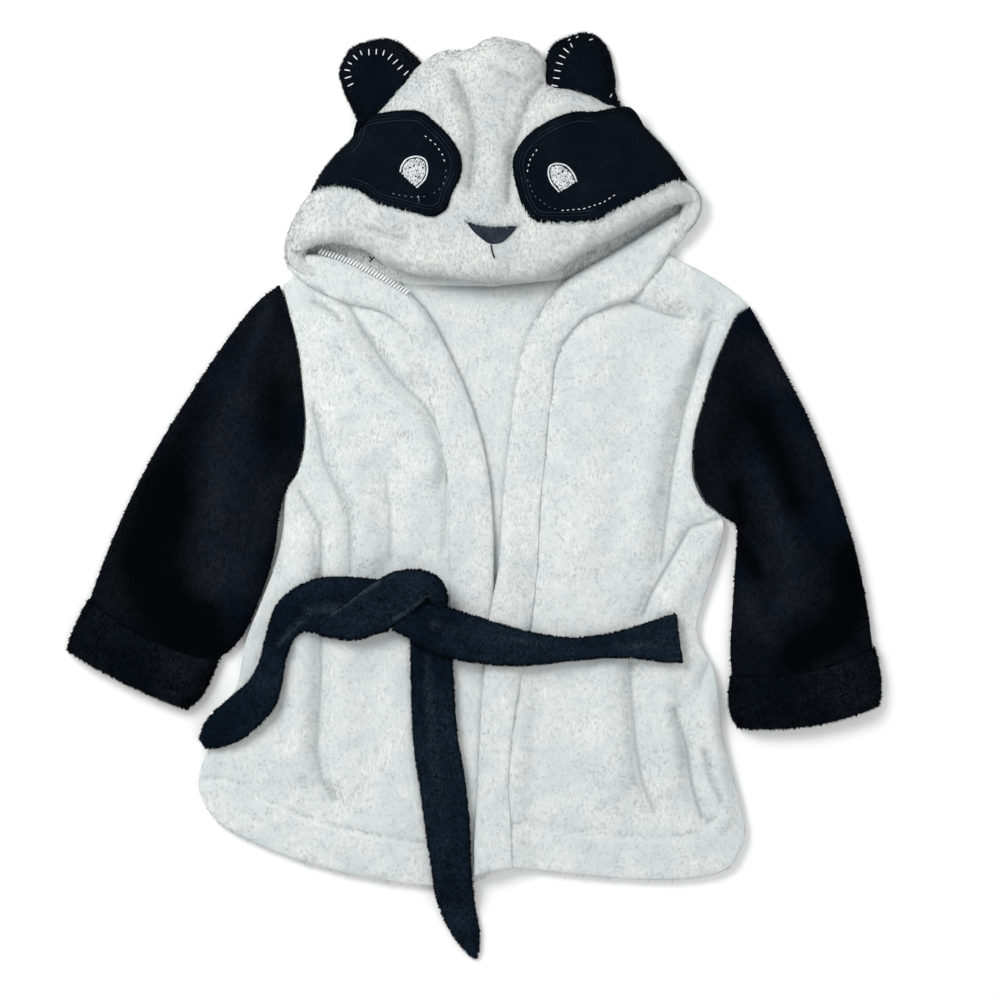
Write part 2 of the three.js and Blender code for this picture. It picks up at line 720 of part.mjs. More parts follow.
// An ear, cut back where the hood's crown lies over it, and its inner piece
function ear(outline, innerOutline) {
  const hoodCut = solidFrom(flatPiece(grown(hoodOutline, seamGap), cutterFloor, cutterHeight, 0));
  const pad = solidFrom(earPad(outline, 0, 0));
  const layer = solidFrom(earPad(outline, seamGap, innerEarCloth));
  const innerCut = solidFrom(flatPiece(rounded(innerOutline, outlineSteps), 0, cutterHeight, 0));
  return {
    outer: geometryFrom(largestBody(pad.subtract(hoodCut))),
    inner: geometryFrom(largestBody(layer.intersect(innerCut).subtract(hoodCut))),
  };
}

// One section of a sleeve as two loops, the outside of the cloth and the inside
function sleeveLoops(section, seamCurve, seamShare, cloth, folds) {
  const [outerX, outerY, innerX, innerY, bow, height] = section;
  const width = Math.hypot(innerX - outerX, innerY - outerY);
  const downX = (outerY - innerY) / width;
  const downY = (innerX - outerX) / width;
  const turnDown = downY > 0 ? -1 : 1;
  const placeAt = (share) => {
    const hang = bow * 4 * share * (1 - share) * turnDown;
    const seam = seamCurve(share);
    return [
      lerp(outerX, innerX, share) + downX * hang + seam[0] * seamShare,
      lerp(outerY, innerY, share) + downY * hang + seam[1] * seamShare,
    ];
  };
  const loopAt = (inset) => {
    const top = [];
    const bottom = [];
    for (let i = 0; i <= sleeveSteps; i += 1) {
      const share = lerp(inset / width, 1 - inset / width, easedStep(i, sleeveSteps, sleeveCrowding));
      const [x, y] = placeAt(share);
      const fromEdge = Math.min(share, 1 - share) * width;
      const over = turned(fromEdge, sleeveTurn);
      const under = turned(fromEdge, undersideTurn);
      const crest = lerp(sleeveEdgeHeight, height, over);
      const floor = lerp(sleeveEdgeHeight - edgeFold, 0, under);
      if (inset > 0) {
        top.push([x, y, Math.max(crest - cloth, sleeveEdgeHeight + leastHollow)]);
        bottom.push([x, y, Math.min(floor + cloth, sleeveEdgeHeight - leastHollow)]);
      } else {
        top.push([x, y, crest + foldRelief(x, y, folds) * over]);
        bottom.push([x, y, floor]);
      }
    }
    return [...top, ...bottom.reverse()];
  };
  return { outside: loopAt(0), inside: loopAt(cloth) };
}

// A tube of plush through its sections. Its first few follow the armhole seam, if it has one.
function plushTube(sections, cloth, folds, armhole) {
  const seamRows = 4;
  const [first] = sections;
  const seamCurve = (share) => {
    if (!armhole) return [0, 0];
    const point = armhole.getPointAt(share);
    return [point.x - lerp(first[0], first[2], share), point.y - lerp(first[1], first[3], share)];
  };
  const loops = sections.map((section, s) => {
    const seamShare = Math.max(0, 1 - s / seamRows) ** 2;
    return sleeveLoops(section, seamCurve, seamShare, cloth, folds);
  });
  return loft(
    loops.map((loop) => loop.outside),
    loops.map((loop) => loop.inside),
  );
}

// The armhole seam of a front as a path, moved squarely across the gap to the sleeve's side
function armholePath(sections, arm, outward, [outerX, outerY, innerX, innerY]) {
  const seam = sections.slice(arm.shoulder, arm.underarm + 1);
  const moved = seam.slice(1, -1).map(([x, y], i) => {
    const run = Math.hypot(seam[i + 2][0] - seam[i][0], seam[i + 2][1] - seam[i][1]);
    const alongX = (seam[i + 2][0] - seam[i][0]) / run;
    const alongY = (seam[i + 2][1] - seam[i][1]) / run;
    return [x - outward * alongY * armholeGap, y + outward * alongX * armholeGap];
  });
  const path = new THREE.CurvePath();
  const points = [[outerX, outerY], ...moved, [innerX, innerY]].map(([x, y]) => new THREE.Vector2(x, y));
  for (let i = 1; i < points.length; i += 1) path.add(new THREE.LineCurve(points[i - 1], points[i]));
  return path;
}

// A folded strap along its rows, or with grow the space that others leave round it
function strap(rows, grow) {
  const loops = rows.map(([x, y, width, under, thickness], i) => {
    const before = rows[Math.max(i - 1, 0)];
    const after = rows[Math.min(i + 1, rows.length - 1)];
    const run = Math.hypot(after[0] - before[0], after[1] - before[1]);
    const acrossX = -(after[1] - before[1]) / run;
    const acrossY = (after[0] - before[0]) / run;
    const first = i === 0 ? -grow : 0;
    const last = i === rows.length - 1 ? grow : 0;
    const shift = first + last;
    return strapSection.map(([across, up]) => {
      const side = across * (width / 2 + grow);
      return [
        x + acrossX * side + acrossY * shift,
        y + acrossY * side - acrossX * shift,
        under - grow + up * (thickness + 2 * grow),
      ];
    });
  });
  return loft(loops);
}

const hoodOutline = [
  ...crownSeam,
  ...rightCorner.slice().reverse(),
  ...neckSeam.slice().reverse(),
  ...leftCorner,
];
const noLift = () => 0;
const robe = new THREE.Group();

function addPiece(name, geometry, material) {
  const mesh = new THREE.Mesh(geometry, material);
  mesh.name = name;
  robe.add(mesh);
}

// Back, lying flat under everything
const bowedEdge = ([sideX, sideY, seamX, seamY], edge, direction) => {
  const count = 8;
  return Array.from({ length: count - 1 }, (_, k) => {
    const share = (k + 1) / count;
    return [lerp(sideX, seamX, share), lerp(sideY, seamY, share) + direction * edgeBow(edge, share, 0)];
  });
};
const leftSide = leftSections.slice(leftArm.shoulder).map(([x, y]) => [x, y]);
const rightSide = rightSections.slice(rightArm.shoulder).map(([x, y]) => [x, y]);
const backOutline = [
  ...leftSide,
  ...bowedEdge(leftSections[leftSections.length - 1], leftHem, -1),
  ...bowedEdge(rightSections[rightSections.length - 1], rightHem, -1).reverse(),
  ...rightSide.slice().reverse(),
  ...bowedEdge(rightSections[rightArm.shoulder], rightShoulder, 1),
  ...neckSeam.slice().reverse().map(([x, y]) => [x, y - seamGap]),
];
addPiece("back_panel", flatPiece(backOutline, 0, backCloth, flatBevel), whiteFleece);

const leftRow = leftArm.shoulder;
const rightRow = rightArm.shoulder;
const leftBody = frontBody(leftSections, leftHem, leftShoulder, leftFolds, leftRow, noLift);
const rightBody = frontBody(rightSections, rightHem, rightShoulder, rightFolds, rightRow, lapLift);
addPiece("front_left", leftBody, whiteFleece);
addPiece("front_right", rightBody, whiteFleece);
addPiece("front_band_left", frontBand(leftSections, noLift), whiteFleece);
addPiece("front_band_right", frontBand(rightSections, lapLift), whiteFleece);

addPiece("hood_back", flatPiece(hoodOutline, 0, backCloth, flatBevel), whiteFleece);
addPiece("hood_face", hoodLayer(0, hoodCloth), whiteFleece);

const leftEar = ear(earLeft, innerEarLeft);
const rightEar = ear(earRight, innerEarRight);
addPiece("ear_left", leftEar.outer, blackPlush);
addPiece("ear_right", rightEar.outer, blackPlush);
addPiece("ear_inner_left", leftEar.inner, blackVelour);
addPiece("ear_inner_right", rightEar.inner, blackVelour);

const glintLift = appliedGap + patchCloth + seamGap;
addPiece("eye_patch_left", applied(patchLeft, appliedGap, patchCloth), blackVelour);
addPiece("eye_patch_right", applied(patchRight, appliedGap, patchCloth), blackVelour);
addPiece("eye_glint_left", applied(glintLeft, glintLift, threadFill), silverThread);
addPiece("eye_glint_right", applied(glintRight, glintLift, threadFill), silverThread);
addPiece("nose", applied(noseOutline, seamGap, feltCloth), slateFelt);

const leftArmhole = armholePath(leftSections, leftArm, -1, leftSleeve.sections[0]);
const rightArmhole = armholePath(rightSections, rightArm, 1, rightSleeve.sections[0]);
const leftTube = plushTube(leftSleeve.sections, plushCloth, leftSleeve.folds, leftArmhole);
const rightTube = plushTube(rightSleeve.sections, plushCloth, rightSleeve.folds, rightArmhole);
addPiece("sleeve_left", leftTube, blackPlush);
addPiece("sleeve_right", rightTube, blackPlush);
addPiece("cuff_left", plushTube(leftSleeve.cuff, cuffCloth, [], null), blackPlush);
addPiece("cuff_right", plushTube(rightSleeve.cuff, cuffCloth, [], null), blackPlush);

addPiece("belt_left", strap(beltLeft, 0), blackPlush);
addPiece("belt_right", strap(beltRight, 0), blackPlush);
addPiece("belt_tail", strap(beltTail, 0), blackPlush);
const knot = [beltLeft, beltRight, beltTail].reduce(
  (solid, rows) => solid.subtract(solidFrom(strap(rows, seamGap))),
  solidFrom(strap(beltKnot, 0)),
);
addPiece("belt_knot", geometryFrom(largestBody(knot)), blackPlush);

export default robe;
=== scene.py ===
# A toddler's plush hooded bathrobe with a panda's face, laid flat on its back on a pale floor.
# Shapes are worked out in millimetres, as on the pattern table, and become metres in meshPiece.
# +X is the viewer's right, +Y runs from hem to hood, +Z is up. Left and right are the viewer's.
import math
import bpy
import numpy as np
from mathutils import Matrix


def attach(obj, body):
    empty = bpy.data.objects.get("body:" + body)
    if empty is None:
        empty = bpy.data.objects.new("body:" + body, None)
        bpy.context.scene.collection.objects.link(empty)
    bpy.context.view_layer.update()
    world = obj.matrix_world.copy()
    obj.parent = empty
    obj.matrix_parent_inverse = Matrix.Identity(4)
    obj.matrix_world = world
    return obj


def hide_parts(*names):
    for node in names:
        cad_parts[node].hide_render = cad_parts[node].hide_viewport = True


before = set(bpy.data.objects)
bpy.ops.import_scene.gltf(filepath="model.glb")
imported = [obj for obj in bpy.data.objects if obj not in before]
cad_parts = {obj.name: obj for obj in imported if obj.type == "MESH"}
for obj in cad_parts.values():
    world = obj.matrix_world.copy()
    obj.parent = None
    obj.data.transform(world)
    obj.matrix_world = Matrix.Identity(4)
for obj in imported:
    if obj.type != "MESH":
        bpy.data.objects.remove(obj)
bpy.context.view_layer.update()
mm = 0.001
print("robe: frame loaded")


# Small formulas that all the pieces share

def turned(distance, reach):
    # Rise of cloth that turns over its edge: (1 - (1 - distance / reach) squared) to the power 0.6
    away = 1 - np.clip(distance / reach, 0, 1)
    return (1 - away ** 2) ** 0.6


def eased(steps, share):
    # Even steps from 0 to 1 mixed with half a cosine wave, which crowds them at both ends
    even = np.linspace(0, 1, steps)
    return even + (0.5 - 0.5 * np.cos(math.pi * even) - even) * share


def smoothRows(table, at):
    # Catmull-Rom curve through the table's rows, read at each fractional row number in at
    table = np.asarray(table, float)
    last = len(table) - 1
    low = np.clip(np.floor(at).astype(int), 0, last - 1)
    f = (at - low)[:, None]
    a, b, c, d = (table[np.clip(low + k, 0, last)] for k in (-1, 0, 1, 2))
    bend = a - 2.5 * b + 2 * c - d / 2
    twist = 1.5 * (b - c) + (d - a) / 2
    return b + f * (c - a) / 2 + f ** 2 * bend + f ** 3 * twist


def roundedOutline(outline, count):
    # Closed Catmull-Rom curve through the outline's corners, with count points
    closed = np.vstack([outline[-1:], outline, outline[:2]])
    return smoothRows(closed, 1 + np.arange(count) * len(outline) / count)


def distanceTo(x, y, path):
    # Least distance from each place to the path's straight pieces
    nearest = np.full(np.shape(x), np.inf)
    for (ax, ay), (bx, by) in zip(path[:-1], path[1:]):
        length2 = (bx - ax) ** 2 + (by - ay) ** 2
        t = np.clip(((x - ax) * (bx - ax) + (y - ay) * (by - ay)) / length2, 0, 1)
        nearest = np.minimum(nearest, np.hypot(x - ax - t * (bx - ax), y - ay - t * (by - ay)))
    return nearest


def unit(vectors):
    # Each vector at length 1
    return vectors / np.maximum(np.linalg.norm(vectors, axis=-1, keepdims=True), 1e-12)


def leftOf(run):
    # Each direction on the floor, turned a quarter to the left
    return np.column_stack([-run[:, 1], run[:, 0]])


def ruled(start, end, share):
    # x and y of the places at each share of the way from start to end
    place = start + (end - start) * share[..., None]
    return place[..., 0], place[..., 1]


def isInside(x, y, outline):
    # Counts how often a line to the right of each place crosses the closed outline
    inside = np.zeros(np.shape(x), bool)
    for (ax, ay), (bx, by) in zip(outline, np.roll(outline, -1, axis=0)):
        crosses = (ay > y) != (by > y)
        level = ax + (y - ay) * (bx - ax) / np.where(by == ay, 1e-9, by - ay)
        inside ^= crosses & (x < level)
    return inside


def bell(distance, width):
    # exp(-(distance / width) squared)
    return np.exp(-(distance / width) ** 2)


def foldRelief(x, y, folds):
    # Sum over the folds of rise * bell of the distance to the fold's path
    return sum(rise * bell(distanceTo(x, y, path), width) for rise, width, path in folds)


creaseLook = {"gain": 1.1, "width": 1.7, "paintedCreaseRise": 2.6, "paintedCreaseWidth": 1.5}


def hollows(folds, gain, width):
    # The hollow folds alone, their rise times a gain, and all of one width
    return [(gain * rise, width, path) for rise, _, path in folds if rise < 0]


def creaseLines(x, y, folds):
    # The sharp line at the bottom of each hollow fold: gain * rise * bell of the distance
    return foldRelief(x, y, hollows(folds, creaseLook["gain"], creaseLook["width"]))


def paintedCreaseShare(x, y, folds):
    # Share of the painted crease colour along the hollow folds: the sum of -rise / creaseLook's rise *
    # bell, up to 1
    paintedCrease = hollows(folds, -1 / creaseLook["paintedCreaseRise"], creaseLook["paintedCreaseWidth"])
    return np.clip(foldRelief(x, y, paintedCrease), 0, 1)


waves = {"count": 10, "fullTurn": 6.28, "shortest": 0.7, "longest": 1.5, "share": 4}


def ripple(x, y, wavelength, seed):
    # Ten sine waves of about one wavelength in seeded directions, summed to about -1 to 1
    random = np.random.default_rng(seed)
    least = [0, 0, waves["shortest"]]
    most = [waves["fullTurn"], waves["fullTurn"], waves["longest"]]
    total = np.zeros(np.shape(x))
    for heading, phase, stretch in random.uniform(least, most, (waves["count"], 3)):
        along = x * math.cos(heading) + y * math.sin(heading)
        total += np.sin(along * 2 * math.pi / (wavelength * stretch) + phase)
    return total / waves["share"]


def softness(x, y, ripples, seed):
    # Sum of rise * ripple over the pairs of rise and wavelength, each with the next seed
    return sum(rise * ripple(x, y, size, seed + k) for k, (rise, size) in enumerate(ripples))


# Meshes. A shape is its points in mm and a list of face arrays.

def facesOfGrid(index):
    # One quad for each cell of a grid of point numbers
    return np.stack([index[:-1, :-1], index[:-1, 1:], index[1:, 1:], index[1:, :-1]], -1).reshape(-1, 4)


def closedGrid(loops, around):
    # Point numbers of closed loops, with the first column again at the end
    index = np.arange(loops * around).reshape(loops, around)
    return np.concatenate([index, index[:, :1]], 1)


def fanTo(loop, middle):
    # Triangles from each step of a closed loop to one point
    return np.stack([loop[:-1], loop[1:], np.full(len(loop) - 1, middle)], -1)


def triangles(faces):
    # Each face is cut into a fan from its first corner
    return np.concatenate([f[:, [0, k, k + 1]] for f in faces for k in range(1, f.shape[1] - 1)])


def outward(points, faces):
    # Turns all the faces over if the volume that they enclose comes out negative
    a, b, c = (points[triangles(faces)[:, k]] for k in range(3))
    volume = np.einsum("ij,ij->i", a, np.cross(b, c)).sum()
    return points, [f if volume > 0 else f[:, ::-1] for f in faces]


def layersOf(x, y, *heights):
    # The points of layers over the same places
    return np.concatenate([np.dstack([x, y, z]).reshape(-1, 3) for z in heights])


def sheetShape(x, y, top, bottom):
    # Two layers on one grid, joined all round their rim
    rows, columns = top.shape
    index = np.arange(rows * columns).reshape(rows, columns)
    under = rows * columns
    rim = np.concatenate([index[0, :-1], index[:-1, -1], index[-1, :0:-1], index[:0:-1, 0]])
    after = np.roll(rim, -1)
    upper = facesOfGrid(index)
    side = np.stack([after, rim, rim + under, after + under], -1)
    return outward(layersOf(x, y, top, bottom), [upper, upper[:, ::-1] + under, side])


def discShape(x, y, top, bottom):
    # Two layers of closed rings that shrink to a middle point each, joined at the outer ring
    rings, around = top.shape
    index = closedGrid(rings, around)
    under = rings * around
    upper = facesOfGrid(index)
    rim = index[0]
    side = np.stack([rim[1:], rim[:-1], rim[:-1] + under, rim[1:] + under], -1)
    fan = fanTo(index[-1], 2 * under)
    fanUnder = fanTo(index[-1] + under, 2 * under + 1)[:, [1, 0, 2]]
    points = layersOf(x, y, top, bottom)
    middles = [points[end - around:end].mean(0, keepdims=True) for end in (under, 2 * under)]
    faces = [upper, upper[:, ::-1] + under, side, fan, fanUnder]
    return outward(np.concatenate([points, *middles]), faces)


def tubeShape(outer, inner):
    # A tube's outer and inner loops, joined by a rim at both ends
    loops, around = outer.shape[:2]
    index = closedGrid(loops, around)
    within = loops * around
    skin = facesOfGrid(index)
    first, last = index[0], index[-1]
    mouth = np.stack([first[1:], first[:-1], first[:-1] + within, first[1:] + within], -1)
    end = np.stack([last[:-1], last[1:], last[1:] + within, last[:-1] + within], -1)
    points = np.concatenate([outer.reshape(-1, 3), inner.reshape(-1, 3)])
    return outward(points, [skin, skin[:, ::-1] + within, mouth, end])


def rodShape(loops):
    # Closed loops along a path, with a fan to the middle of the first and of the last
    count, around = loops.shape[:2]
    index = closedGrid(count, around)
    start = count * around
    fanStart = fanTo(index[0], start)[:, [1, 0, 2]]
    fanEnd = fanTo(index[-1], start + 1)
    points = np.concatenate([loops.reshape(-1, 3), loops[:1].mean(1), loops[-1:].mean(1)])
    return outward(points, [facesOfGrid(index), fanStart, fanEnd])


def roundSection(across, beside, sides):
    # Directions from a thread's middle to the corners of its section
    turn = (np.arange(sides) * 2 * math.pi / sides)[None, :, None]
    return np.cos(turn) * across[:, None] + np.sin(turn) * beside[:, None]


stitchSwell = ((0.0, 0.55), (0.2, 1.0), (0.8, 1.0), (1.0, 0.55))     # share of length, share of radius


def bars(starts, ends, radius, sides=5):
    # Each stitch is a thin rod from start to end that swells in the middle, as in stitchSwell
    starts, ends = np.asarray(starts, float), np.asarray(ends, float)
    along = unit(ends - starts)
    across = unit(np.cross(along, [0.0, 0.0, 1.0] + along[:, ::-1] * 0.01))
    section = roundSection(across, np.cross(along, across), sides)
    rings = [
        starts[:, None] + (ends - starts)[:, None] * at + section * radius * swell
        for at, swell in stitchSwell
    ]
    count, ownPoints = len(starts), len(rings) * sides + 2
    points = np.concatenate([np.stack(rings, 1).reshape(count, -1, 3), np.stack([starts, ends], 1)], 1)
    index = closedGrid(len(rings), sides)
    ownFaces = [
        facesOfGrid(index)[:, ::-1],
        fanTo(index[0], ownPoints - 2)[:, ::-1],
        fanTo(index[-1], ownPoints - 1)[:, [2, 0, 1]],
    ]
    step = np.arange(count)[:, None, None] * ownPoints
    return outward(points.reshape(-1, 3), [(f + step).reshape(-1, f.shape[1]) for f in ownFaces])


def threadAlong(path, radius, sides=6):
    # A round thread through the path's points, square to its run
    run = unit(np.gradient(path, axis=0))
    across = unit(np.cross(run, [0.0, 0.0, 1.0]))
    return rodShape(path[:, None] + roundSection(across, np.cross(across, run), sides) * radius)


def joined(shapes):
    # Several shapes as one, with their point numbers moved on
    starts = np.cumsum([0] + [len(points) for points, _ in shapes])
    faces = [f + start for (_, parts), start in zip(shapes, starts) for f in parts]
    return np.concatenate([points for points, _ in shapes]), faces


def vertexNormals(points, corners):
    # Sum of the normals of the triangles round each point, by area
    a, b, c = (points[corners[:, k]] for k in range(3))
    flat = np.cross(b - a, c - a)
    normals = np.zeros_like(points)
    for k in range(3):
        np.add.at(normals, corners[:, k], flat)
    return unit(normals)


triangleCounts = {}


def meshPiece(name, shape, material, replaces=(), tip=None, folds=()):
    # Puts a shape into a mesh in metres, and lets it ride on the robe's one body
    points, faces = shape
    mesh = bpy.data.meshes.new(name)
    corners = np.concatenate([f.ravel() for f in faces]).astype(np.int32)
    sizes = np.concatenate([np.full(len(f), f.shape[1]) for f in faces])
    mesh.vertices.add(len(points))
    mesh.vertices.foreach_set("co", (points * mm).astype(np.float32).ravel())
    mesh.loops.add(len(corners))
    mesh.loops.foreach_set("vertex_index", corners)
    mesh.polygons.add(len(sizes))
    mesh.polygons.foreach_set("loop_start", (np.cumsum(sizes) - sizes).astype(np.int32))
    mesh.update(calc_edges=True)
    mesh.shade_smooth()
    # The crease share says how much of the painted crease colour each point takes
    values = {"tip": tip, "paintedCreaseShare": paintedCreaseShare(*points[:, :2].T, folds) if folds else None}
    for attribute, value in values.items():
        if value is not None:
            layer = mesh.attributes.new(attribute, "FLOAT", "POINT")
            layer.data.foreach_set("value", value.astype(np.float32))
    piece = bpy.data.objects.new(name, mesh)
    bpy.context.scene.collection.objects.link(piece)
    mesh.materials.append(material)
    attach(piece, "root")
    if replaces:
        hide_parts(*replaces)
    triangleCounts[name] = int((sizes - 2).sum())
    return piece


# Materials

def linear(hexColour):
    # sRGB to linear: c / 12.92 up to 0.04045, and above that ((c + 0.055) / 1.055) to the power 2.4
    channels = [int(hexColour[k:k + 2], 16) / 255 for k in (1, 3, 5)]
    return (*[c / 12.92 if c <= 0.04045 else ((c + 0.055) / 1.055) ** 2.4 for c in channels], 1.0)


def addNode(material, kind, settings, links=()):
    # Adds one node, sets its properties or sockets by name or number, and links its inputs
    tree = material.node_tree
    node = tree.nodes.new(kind)
    for key, value in settings.items():
        if isinstance(key, int) or (key in node.inputs and not hasattr(node, key)):
            node.inputs[key].default_value = value
        else:
            setattr(node, key, value)
    for socket, source, output in links:
        tree.links.new(source.outputs[output], node.inputs[socket])
    return node


driftSpan = {"From Min": 0.36, "From Max": 0.64}    # what part of the noise goes from shade to light
fleckSpan = {"From Min": 0.5, "From Max": 0.78}


def clothMaterial(name, look):
    # Colour drifts slowly over the cloth between shade and light, and where it is light, flecks of
    # tips that lie flat shine out as painted glints, drawn out along the nap. Along the hollow folds
    # the colour is mixed towards the painted crease colour: a painted shade on the fleece and a
    # painted highlight on the belt. Grain as fine as a tuft stands in the bump.
    material = bpy.data.materials.new(name)
    material.use_nodes = True
    material.node_tree.nodes.clear()

    def noise(size, detail, roughness, source, output):
        return addNode(material, "ShaderNodeTexNoise", {
            "Scale": 1 / (size * mm), "Detail": detail, "Roughness": roughness,
        }, [("Vector", source, output)])

    def mixed(colours, links):
        return addNode(material, "ShaderNodeMix", {
            "data_type": "RGBA", **{socket: linear(look[key]) for socket, key in colours.items()},
        }, links)

    place = addNode(material, "ShaderNodeTexCoord", {})
    napped = addNode(material, "ShaderNodeMapping", {"Scale": (1.0, look["streak"], 1.0)},
                     [("Vector", place, "Object")])
    drift = noise(look["driftSize"], 3.0, 0.6, place, "Object")
    flecks = noise(look["fleckSize"], 2.0, 0.6, napped, "Vector")
    grain = noise(look["grainSize"], 2.0, 0.55, napped, "Vector")
    driftShare = addNode(material, "ShaderNodeMapRange", driftSpan, [("Value", drift, "Fac")])
    fleckShare = addNode(material, "ShaderNodeMapRange", fleckSpan, [("Value", flecks, "Fac")])
    shining = addNode(material, "ShaderNodeMath", {"operation": "MULTIPLY"},
                      [(0, driftShare, "Result"), (1, fleckShare, "Result")])
    colour = mixed({6: "shade", 7: "light"}, [(0, driftShare, "Result")])
    # Flecks in the fleck colour are painted glints of tips that lie flat, where the drift is light
    colour = mixed({7: "fleck"}, [(0, shining, "Value"), (6, colour, 2)])
    # On the pile the colour runs from the root colour, a painted shade at the tufts' roots, to the
    # cloth's colour towards the tips
    if look["isPile"]:
        height = addNode(material, "ShaderNodeAttribute", {"attribute_name": "tip"})
        colour = mixed({6: "root"}, [(0, height, "Fac"), (7, colour, 2)])
    # Along the hollow folds the colour is mixed towards the painted crease colour: painted shade on the
    # fleece, a painted highlight on the belt
    if "paintedCreaseColour" in look:
        paintedCrease = addNode(material, "ShaderNodeAttribute", {"attribute_name": "paintedCreaseShare"})
        colour = mixed({7: "paintedCreaseColour"}, [(0, paintedCrease, "Fac"), (6, colour, 2)])
    bump = addNode(material, "ShaderNodeBump", {
        "Strength": look["bump"], "Distance": look["grainDepth"] * mm,
    }, [("Height", grain, "Fac")])
    shader = addNode(material, "ShaderNodeBsdfPrincipled", {
        "Roughness": look["roughness"], "Specular IOR Level": look["specular"],
        "Sheen Weight": look["sheen"], "Sheen Roughness": look["sheenRoughness"],
        "Sheen Tint": linear(look["sheenTint"]),
    }, [("Base Color", colour, 2), ("Normal", bump, "Normal")])
    addNode(material, "ShaderNodeOutputMaterial", {}, [("Surface", shader, "BSDF")])
    return material


# White coral fleece, knitted polyester with a brushed pile: matt and soft, its own light scatters
# between the fibres, so hollows stay pale and only a cool grey shows at the roots
fleeceLook = {
    "shade": "#CBD4D3", "light": "#D9DCDA", "fleck": "#ECEEED", "root": "#D0D7D6", "isPile": False,
    "driftSize": 26, "fleckSize": 1.9, "streak": 0.35, "grainSize": 1.2, "grainDepth": 0.3, "bump": 0.2,
    "roughness": 0.95, "sheen": 0.1, "sheenRoughness": 0.5, "sheenTint": "#FFFFFF", "specular": 0.1,
}
# The white fleece's crease colour is a painted shade in its creases
whiteFleece = clothMaterial("coralFleeceWhite", {**fleeceLook, "paintedCreaseColour": "#9FA7A6"})
whitePile = clothMaterial("coralFleecePileWhite", {**fleeceLook, "isPile": True, "bump": 0.0})
# The same fleece on the hood with a painted shade: a shade greyer, as its sides turn away from the
# light. Its crease colour is a painted shade as well
hoodShadedLook = {**fleeceLook, "shade": "#C4CAC9", "light": "#D2D4D2", "fleck": "#E6E8E7", "root": "#C8CDCC"}
hoodFleecePaintedShade = clothMaterial("coralFleeceHoodPaintedShade", {**hoodShadedLook, "paintedCreaseColour": "#A8AEAD"})
hoodPilePaintedShade = clothMaterial("coralFleecePileHoodPaintedShade", {**hoodShadedLook, "isPile": True, "bump": 0.0})
# Its inner face, seen in the hood's mouth, with a painted shade: darker and greyer where the hood shades
# it
hoodInsidePaintedShade = clothMaterial("coralFleeceInsidePaintedShade", {
    **fleeceLook, "shade": "#AEB4B2", "light": "#BCC1BF", "fleck": "#CDD1CF", "root": "#A9AFAD",
    "isPile": True,
})
# Dyed polyester plush: nearly black with a blue cast, greyer where the nap is brushed up, and a
# faint glint of single fibres
plushLook = {
    "shade": "#030911", "light": "#0F141A", "fleck": "#1B232B", "root": "#010305", "isPile": False,
    "driftSize": 50, "fleckSize": 1.6, "streak": 0.5, "grainSize": 1.1, "grainDepth": 0.4, "bump": 0.3,
    "roughness": 0.85, "sheen": 0.05, "sheenRoughness": 0.25, "sheenTint": "#9DAEC2", "specular": 0.04,
}
blackPlush = clothMaterial("polyesterPlushBlack", plushLook)
blackPile = clothMaterial("polyesterPlushPileBlack", {**plushLook, "isPile": True, "bump": 0.0})
# The sleeves carry painted light and shade in patches and strokes along their folds: a neutral dark
# grey where lit, and nearly black where shaded
sleevePlushPaintedLight = clothMaterial("polyesterPlushPaintedLight", {
    **plushLook, "shade": "#08121D", "light": "#171A20", "fleck": "#23282F", "root": "#000103",
    "isPile": True, "bump": 0.15,
})
# The cuffs' pile is turned inside out and crushed, so it clots into small bright and dark grains
cuffPlush = clothMaterial("polyesterPlushCrushed", {
    **plushLook, "shade": "#020407", "light": "#0B1016", "fleck": "#2E3740", "root": "#000102",
    "isPile": True, "driftSize": 5, "fleckSize": 3.2, "streak": 1.0, "bump": 0.0,
})
# The belt's plush, lighter and bluer than the rest of the plush
beltShades = {**plushLook, "shade": "#07121D", "light": "#14202B", "fleck": "#25323E", "root": "#03080E"}
# The belt's crease colour is a painted highlight along its creases and the knot's
beltPlush = clothMaterial("polyesterPlushBelt", {**beltShades, "paintedCreaseColour": "#36424A"})
beltPile = clothMaterial("polyesterPlushPileBelt", {**beltShades, "isPile": True, "bump": 0.0})
# Sheared velour: a shorter, denser pile than the plush, so its face is smooth and darker
blackVelour = clothMaterial("velourBlack", {
    **plushLook, "light": "#080F16", "fleck": "#121A22", "driftSize": 34, "grainSize": 0.8,
    "grainDepth": 0.2,
})
# The velour's edge, with a painted highlight: its cut fibres stand up round the rim, coloured greyer
# where the rim catches the light
paintedHighlightVelour = clothMaterial("velourEdgePaintedHighlight", {
    **plushLook, "shade": "#10151B", "light": "#1B2128", "fleck": "#2C333B", "isPile": True, "bump": 0.1,
})
# Satin-stitched slate yarn: grey and even, with fine upright ribs
slateFelt = clothMaterial("stitchedYarnSlate", {
    **plushLook, "shade": "#21262F", "light": "#2D323C", "fleck": "#414754", "grainSize": 0.8,
    "grainDepth": 0.3, "driftSize": 9, "fleckSize": 1.0, "streak": 0.12, "roughness": 0.75,
})
# Rayon embroidery thread: fine lustrous strands, so it flashes nearly white beside the velour
silverThread = clothMaterial("rayonThreadSilver", {
    **fleeceLook, "shade": "#CDD3D7", "light": "#EEF1F3", "fleck": "#FFFFFF", "grainSize": 0.5,
    "grainDepth": 0.1, "driftSize": 2.5, "roughness": 0.4, "specular": 0.6,
})
# The same thread where it has sunk into the velour, so only a dull grey shows
sunkThread = clothMaterial("rayonThreadSunk", {
    **fleeceLook, "shade": "#59626B", "light": "#8A939B", "fleck": "#C3CACF", "driftSize": 3,
})
